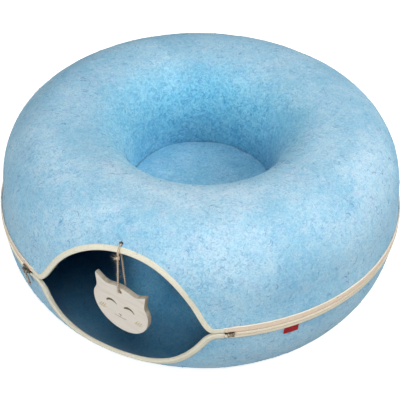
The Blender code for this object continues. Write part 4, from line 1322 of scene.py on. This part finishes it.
def make_zip(prefix, radius, height, start, end, shapes, tree, finishes, tuck=0.0):
    """Tapes, coil rows and sewing lines of one zip."""
    upper_cloth, lower_cloth, nylon = finishes
    upper_shape, lower_shape, seams = shapes
    lap = TAPE_LAP / radius if tuck else 0.0
    for side, shape, cloth in (
        ("upper", upper_shape, upper_cloth),
        ("lower", lower_shape, lower_cloth),
    ):
        item = strip(f"{prefix}_{side}_cloth", shape, start - lap, end + lap, cloth, tuck)
        piece(item, f"{side}_half", (f"{prefix}_{side}_tape",))
    row_start = start + ROW_INSETS[0] / radius
    row_end = end - ROW_INSETS[1] / radius
    off_seam, seam_inset, stitch_share = 0.75, 0.006, 0.78
    for side, sign, offset in (("upper", 1.0, 0.0), ("lower", -1.0, COIL_PITCH / 2.0)):
        spot = (radius, height + sign * off_seam, row_start, row_end, offset)
        row = coil_row(f"{prefix}_{side}_coil", *spot, tree, nylon)
        piece(row, f"{side}_half", (f"{prefix}_{side}_teeth",))
    for side, name, place, thread, pitch, thick in seams:
        line = ring_line(*place, start + seam_inset, end - seam_inset)
        sizes = (pitch, pitch * stitch_share, thick, thick)
        seam = beads(f"{prefix}_{side}_{name}", [line], tree, thread, *sizes)
        piece(seam, f"{side}_half")


def make_bindings(upper, lower, tree, cotton, thread):
    """Bindings of the entrance's two edges, and their running stitches."""
    top = LAP[1]
    for side, skin, sizes, is_upper in (
        ("upper", upper, ARCH, True),
        ("lower", lower, DIP, False),
    ):
        body = f"{side}_half"
        item = binding(f"{side}_folded_binding", skin, sizes, is_upper, cotton)
        piece(item, body, (f"{side}_entrance_binding",))
        lines = []
        for lift in (top + 0.03, -(FELT + top)):
            line = []
            for place, into, _ in edge_frames(skin, sizes, is_upper, 2.0)[1:-1]:
                line.append(tuple(off_edge(skin, place, into, COVER - 1.3, lift)))
            lines.append(line)
        sizes = (BINDING_STITCH, 2.6, 0.42, 0.42)
        seam = beads(f"{side}_binding_seam", lines, tree, thread, *sizes)
        piece(seam, body)


def outer_zip_shapes(upper, lower, thread, brown):
    """Sections of the outer zip's tapes and where their sewing lines run."""
    inner, top = SEAM + TAPE_EDGE, SEAM + TAPE_EDGE + UPPER_TAPE
    upper_shape = tape_shape(upper, inner, top, 0.55, True)
    under, bottom = SEAM - TAPE_EDGE, SEAM - TAPE_EDGE - LOWER_TAPE
    lower_shape = tape_shape(lower, bottom, under, 0.3, False)
    seams = []
    for side, name, skin, height, colour, pitch, thick in (
        ("upper", "seam", upper, top - 1.9, thread, 3.2, 0.45),
        ("lower", "seam", lower, bottom + 1.7, thread, 3.2, 0.45),
        ("upper", "row_seam", upper, inner + 0.5, brown, 2.2, 0.42),
        ("lower", "row_seam", lower, under - 0.5, brown, 2.2, 0.42),
    ):
        spot, normal = skin.at_height(height)
        place = (spot.x + normal.x * (TAPE_GAP + TAPE + 0.05), height)
        seams.append((side, name, place, colour, pitch, thick))
    return upper_shape, lower_shape, seams


def centre_zip_shapes(thread):
    """Sections of the hidden zip's tapes, straight up the well's wall."""
    near, far = WELL + FELT + TAPE_GAP, WELL + FELT + TAPE_GAP + TAPE
    reach, seam_reach = 12.0, 9.5
    shapes, seams = [], []
    for side, sign in (("upper", 1.0), ("lower", -1.0)):
        edge, end = CENTRE_ZIP + sign * TAPE_EDGE, CENTRE_ZIP + sign * reach
        shapes.append([(near, edge), (far, edge), (far, end), (near, end)])
        place = (far + 0.08, CENTRE_ZIP + sign * seam_reach)
        seams.append((side, "seam", place, thread, 3.2, 0.45))
    return shapes[0], shapes[1], seams


def piped_edge(upper, start, end, material):
    """The piping along the top of the outer zip's upper tape: a rounded cord, its whiter
    cotton a painted highlight on that edge.
    """
    height, girth, inset = SEAM + TAPE_EDGE + UPPER_TAPE, 0.55, 0.35
    place, normal = upper.at_height(height)
    middle = place.x + normal.x * (TAPE_GAP + TAPE + inset)
    section = []
    for step in range(8):
        angle = math.pi * step / 4.0
        level = height - inset + girth * math.sin(angle)
        section.append((middle + girth * math.cos(angle), level))
    lap = PIPING_LAP / RING
    ends = (start - lap, end + lap)
    return strip("outer_zip_piped_edge", section, *ends, material, tuck=TAPE_TUCK)


def pierce(item, skin):
    """Cut the twine's hole through the upper half."""
    place, axis = skin_frame(skin, ENTRANCE, EYELET)
    centre = place - axis * (FELT / 2.0)
    points = [centre + axis * step for step in (-8.0, -3.0, 3.0, 8.0)]
    drill = cord_tube("twine_hole", points, EYELET_RADIUS, item.data.materials[1], 20)
    modifier = item.modifiers.new("hole", "BOOLEAN")
    modifier.operation = "DIFFERENCE"
    modifier.solver = "EXACT"
    modifier.object = drill
    result = finished(item)
    bpy.data.objects.remove(drill, do_unlink=True)
    return result


def make_fibres(name, item, tree, body, sets):
    """Loose fibres lying on one felt half, but not inside it or under its foot."""
    floor = 0.006
    for number, (density, curl, sweep, thick, material) in enumerate(sets):
        base = placed("fibre_base", item.data.copy())
        bm = bmesh.new()
        bm.from_mesh(base.data)
        hidden = [
            face
            for face in bm.faces
            if face.material_index == 1 or face.calc_center_median().z < floor
        ]
        bmesh.ops.delete(bm, geom=hidden, context="FACES")
        bm.to_mesh(base.data)
        bm.free()
        fibres = grown(
            f"{name}_{number}",
            base,
            tree,
            density=density,
            curl=curl * MM,
            sweep=sweep,
            thickness=thick * MM,
            tilt=0.06,
            seed=7 + number,
            finish=material,
        )
        piece(fibres, body)


def photo_camera():
    """The photograph's own viewpoint."""
    reach, rise, level_of_aim = 1.36316, 0.67518, 0.108
    pitch, yaw, roll = 0.68602, -0.00058, 0.02444
    sensor, focal_pixels, picture_pixels = 36.0, 1078.537, 400.0
    level = Vector((math.sin(yaw), math.cos(yaw), 0.0)) * math.cos(pitch)
    forward = level - Vector((0.0, 0.0, math.sin(pitch)))
    right = forward.cross(Vector((0.0, 0.0, 1.0))).normalized()
    up = right.cross(forward)
    right_rolled = right * math.cos(roll) + up * math.sin(roll)
    up_rolled = up * math.cos(roll) - right * math.sin(roll)
    data = bpy.data.cameras.new("photo_camera")
    data.sensor_width = sensor
    data.lens = sensor * focal_pixels / picture_pixels
    data.clip_start = 0.05
    camera = placed("photo_camera", data)
    rotation = Matrix((right_rolled, up_rolled, -forward)).transposed().to_4x4()
    height = reach * math.sin(rise) + level_of_aim
    spot = Vector((0.0, -reach * math.cos(rise), height))
    camera.matrix_world = Matrix.Translation(spot) @ rotation
    bpy.context.scene.camera = camera


def split_view(tree, shone, seen, end):
    """Show one shader to the rays of seen_directly, and the other to the rest."""
    inputs = {"Fac": seen_directly(tree), 1: shone, 2: seen}
    choose = wired(tree, "ShaderNodeMixShader", inputs)["Shader"]
    tree.links.new(choose, tree.nodes[end].inputs["Surface"])


def seen_directly(tree):
    """One for rays from the camera, off a gloss or through glass, else nought."""
    rays = wired(tree, "ShaderNodeLightPath")
    most = rays["Is Camera Ray"]
    for kind in ("Is Glossy Ray", "Is Transmission Ray"):
        inputs = {0: most, 1: rays[kind]}
        most = wired(tree, "ShaderNodeMath", inputs, operation="MAXIMUM")["Value"]
    return most


def floor_finish():
    """White to the camera with a light shadow, and a softer grey to the object."""
    floor = Finish("studio_floor", (0.8, 0.8, 0.8, 1.0), 1.0)
    grey = floor.add("ShaderNodeBsdfDiffuse", {"Color": (0.42, 0.41, 0.4, 1.0)})["BSDF"]
    glow = floor.add("ShaderNodeEmission", {"Color": WHITE, "Strength": 0.72})
    inputs = {0: floor.shader.outputs["BSDF"], 1: glow["Emission"]}
    bright = floor.add("ShaderNodeAddShader", inputs)["Shader"]
    split_view(floor.tree, grey, bright, "Material Output")
    return floor.material


def studio():
    """A white floor, a white surround and soft lamps."""
    scene = bpy.context.scene
    scene.view_settings.view_transform = "Standard"
    mesh = bpy.data.meshes.new("studio_floor")
    far, low = 9.0, -0.0003
    corners = [(-far, -far, low), (far, -far, low), (far, far, low), (-far, far, low)]
    mesh.from_pydata(corners, [], [(0, 1, 2, 3)])
    mesh.materials.append(floor_finish())
    floor = placed("studio_floor", mesh)
    scene.world = bpy.data.worlds.new("studio_air")
    scene.world.use_nodes = True
    tree = scene.world.node_tree
    sky = tree.nodes["Background"]
    sky.inputs["Color"].default_value = (0.97, 0.98, 1.0, 1.0)
    sky.inputs["Strength"].default_value = 0.02
    white = wired(tree, "ShaderNodeBackground", {"Color": WHITE})
    split_view(tree, sky.outputs["Background"], white["Background"], "World Output")
    for name, spot, size, power in (
        ("overhead_softbox", (0.0, -0.1, 1.9), 2.4, 10.5),
        ("front_softbox", (0.0, -1.3, 2.1), 1.2, 20.0),
        ("right_softbox", (1.7, -0.2, 1.35), 1.2, 28.0),
        ("left_softbox", (-1.2, -1.9, 0.8), 0.8, 27.0),
    ):
        data = bpy.data.lights.new(name, "AREA")
        data.shape = "DISK"
        data.size = size
        data.energy = power
        lamp = placed(name, data)
        aim = (Vector((0.0, 0.0, 0.1)) - Vector(spot)).to_track_quat("-Z", "Y")
        lamp.matrix_world = Matrix.Translation(spot) @ aim.to_matrix().to_4x4()


def dress_halves(upper, lower, scatter, felts):
    """Both felt halves, with the loose fibres on them."""
    sets = []
    for name, tone, *sizes in (
        ("deep_fibre", (60, 118, 178), 1500.0, 3.2, 2.0, 0.15),
        ("teal_fibre", (78, 154, 184), 2200.0, 4.2, 1.6, 0.12),
        ("pale_fibre", (196, 220, 238), 4200.0, 3.8, 1.7, 0.07),
    ):
        sets.append((*sizes, flat_finish(name, paint(*tone), 0.9)))
    shell = felt_half("upper_felt", upper, ARCH, True, felts)
    shell = pierce(shell, upper)
    piece(shell, "upper_half", ("upper_shell",))
    bowl = felt_half("lower_felt", lower, DIP, False, felts)
    piece(bowl, "lower_half", ("lower_shell",))
    make_fibres("upper_fibres", shell, scatter, "upper_half", sets)
    make_fibres("lower_fibres", bowl, scatter, "lower_half", sets)


def dress_toy():
    """The wooden cat face, with its burnt lines."""
    light, darker_tone = paint(214, 208, 198), paint(204, 196, 184)
    face = whitewashed_wood("whitewashed_face", light, darker_tone, (0.14, 1.0, 1.0))
    sawn = whitewashed_wood(
        "sawn_edge", paint(202, 192, 174), paint(164, 150, 128), (1.0, 0.1, 0.1)
    )
    piece(wooden_cat(face, sawn), "toy", ("cat_toy",))
    dark = flat_finish("burnt_line", paint(82, 70, 50), 0.8)
    blush = flat_finish("pale_burnt_line", paint(194, 176, 138), 0.8)
    for marks in cat_features(dark, blush):
        piece(marks, "toy")


def hang_twine(scatter):
    """The jute loop from the felt's hole to the toy, with its knot and hairs."""
    hemp = jute()
    points, length = smooth_points([Vector(spot) for spot in TWINE_ROUTE], 1.2)
    twine = cord_tube("jute_twine", points, 1.0, hemp)
    down = (Vector(TWINE_ROUTE[3]) - Vector(TWINE_ROUTE[20])).normalized()
    ties = tied_knot(Vector(KNOT), down, hemp)
    base = placed("hair_base", twine.data.copy())
    hairs = grown(
        "twine_hairs", base, scatter, density=160000.0, curl=2.9 * MM, sweep=1.1,
        thickness=0.07 * MM, tilt=1.0, seed=5,
        finish=flat_finish("jute_fibre", paint(214, 190, 162), 0.9),
    )
    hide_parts("twine_loop")
    for item in (twine, hairs):
        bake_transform(item)
    piece(ties, "hanging_twine", ("twine_knot",))


def dress_zips(upper, lower, run):
    """The entrance's bindings and both zips, but for their metal."""
    cotton = woven_cotton("cream_cotton", paint(235, 234, 216), paint(221, 213, 190))
    tape = woven_cotton("blush_tape", paint(246, 227, 206), paint(230, 206, 182), 0.5)
    pale_tape = woven_cotton("pale_tape", paint(246, 238, 218), paint(232, 219, 194), 0.5)
    thread = plain_thread("cream_thread", paint(226, 215, 190))
    brown = plain_thread("brown_thread", paint(168, 134, 100))
    nylon = plain_thread("nylon_coil", paint(248, 240, 220), 0.45)
    # The piping's whiter cotton is a painted highlight along the tape's top edge
    white = woven_cotton("highlight_white_piping", paint(252, 248, 238), paint(240, 232, 214), 0.5)
    make_bindings(upper, lower, run, cotton, thread)
    start = ENTRANCE + (HALF_WIDTH + RIGHT_LAND + 2.0) / RING
    end = ENTRANCE - (HALF_WIDTH + LEFT_LAND + 2.0) / RING + 2.0 * math.pi
    spot = (RING + TAPE_GAP + TAPE / 2.0, SEAM, start, end)
    finishes = (tape, pale_tape, nylon)
    shapes = outer_zip_shapes(upper, lower, thread, brown)
    make_zip("outer_zip", *spot, shapes, run, finishes, tuck=TAPE_TUCK)
    piece(piped_edge(upper, start, end, white), "upper_half")
    start = math.radians(186.0)
    end = start + math.radians(348.0)
    spot = (WELL + FELT + TAPE_GAP + TAPE / 2.0, CENTRE_ZIP, start, end)
    make_zip("centre_zip", *spot, centre_zip_shapes(thread), run, finishes)


def main():
    """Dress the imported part."""
    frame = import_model()
    photo_camera()
    run, scatter = run_tree(), fibre_tree()
    hang_twine(scatter)
    studio()
    # Its hollow tint is painted shade, darker and bluer in the well
    outer = heathered_felt("sky_felt", SKY_TONES, hollow=(0.75, 1.08, 1.08, 1.0), grit=1.2)
    # A darker copy of the felt: painted shade for the tunnel's inside
    inner = heathered_felt("shaded_inner_felt", SHADED_INNER_TONES)
    upper, lower = upper_skin(), lower_skin()
    dress_halves(upper, lower, scatter, (outer, inner))
    dress_zips(upper, lower, run)
    pad = pad_cushion(heathered_felt("pad_felt", PAD_TONES, grit=1.7))
    piece(pad, "pad", ("centre_pad",))
    red = woven_cotton("red_label", paint(178, 8, 24), paint(138, 4, 18), 0.45)
    piece(folded_label(lower, red), "lower_half", ("side_label",))
    dress_toy()
    bronze = aged_bronze()
    for name in frame["nodes"]:
        if name.endswith(("slider", "pull", "stop", "insertion_pin", "retainer_box")):
            for slot in frame["nodes"][name].material_slots:
                slot.material = bronze


main()
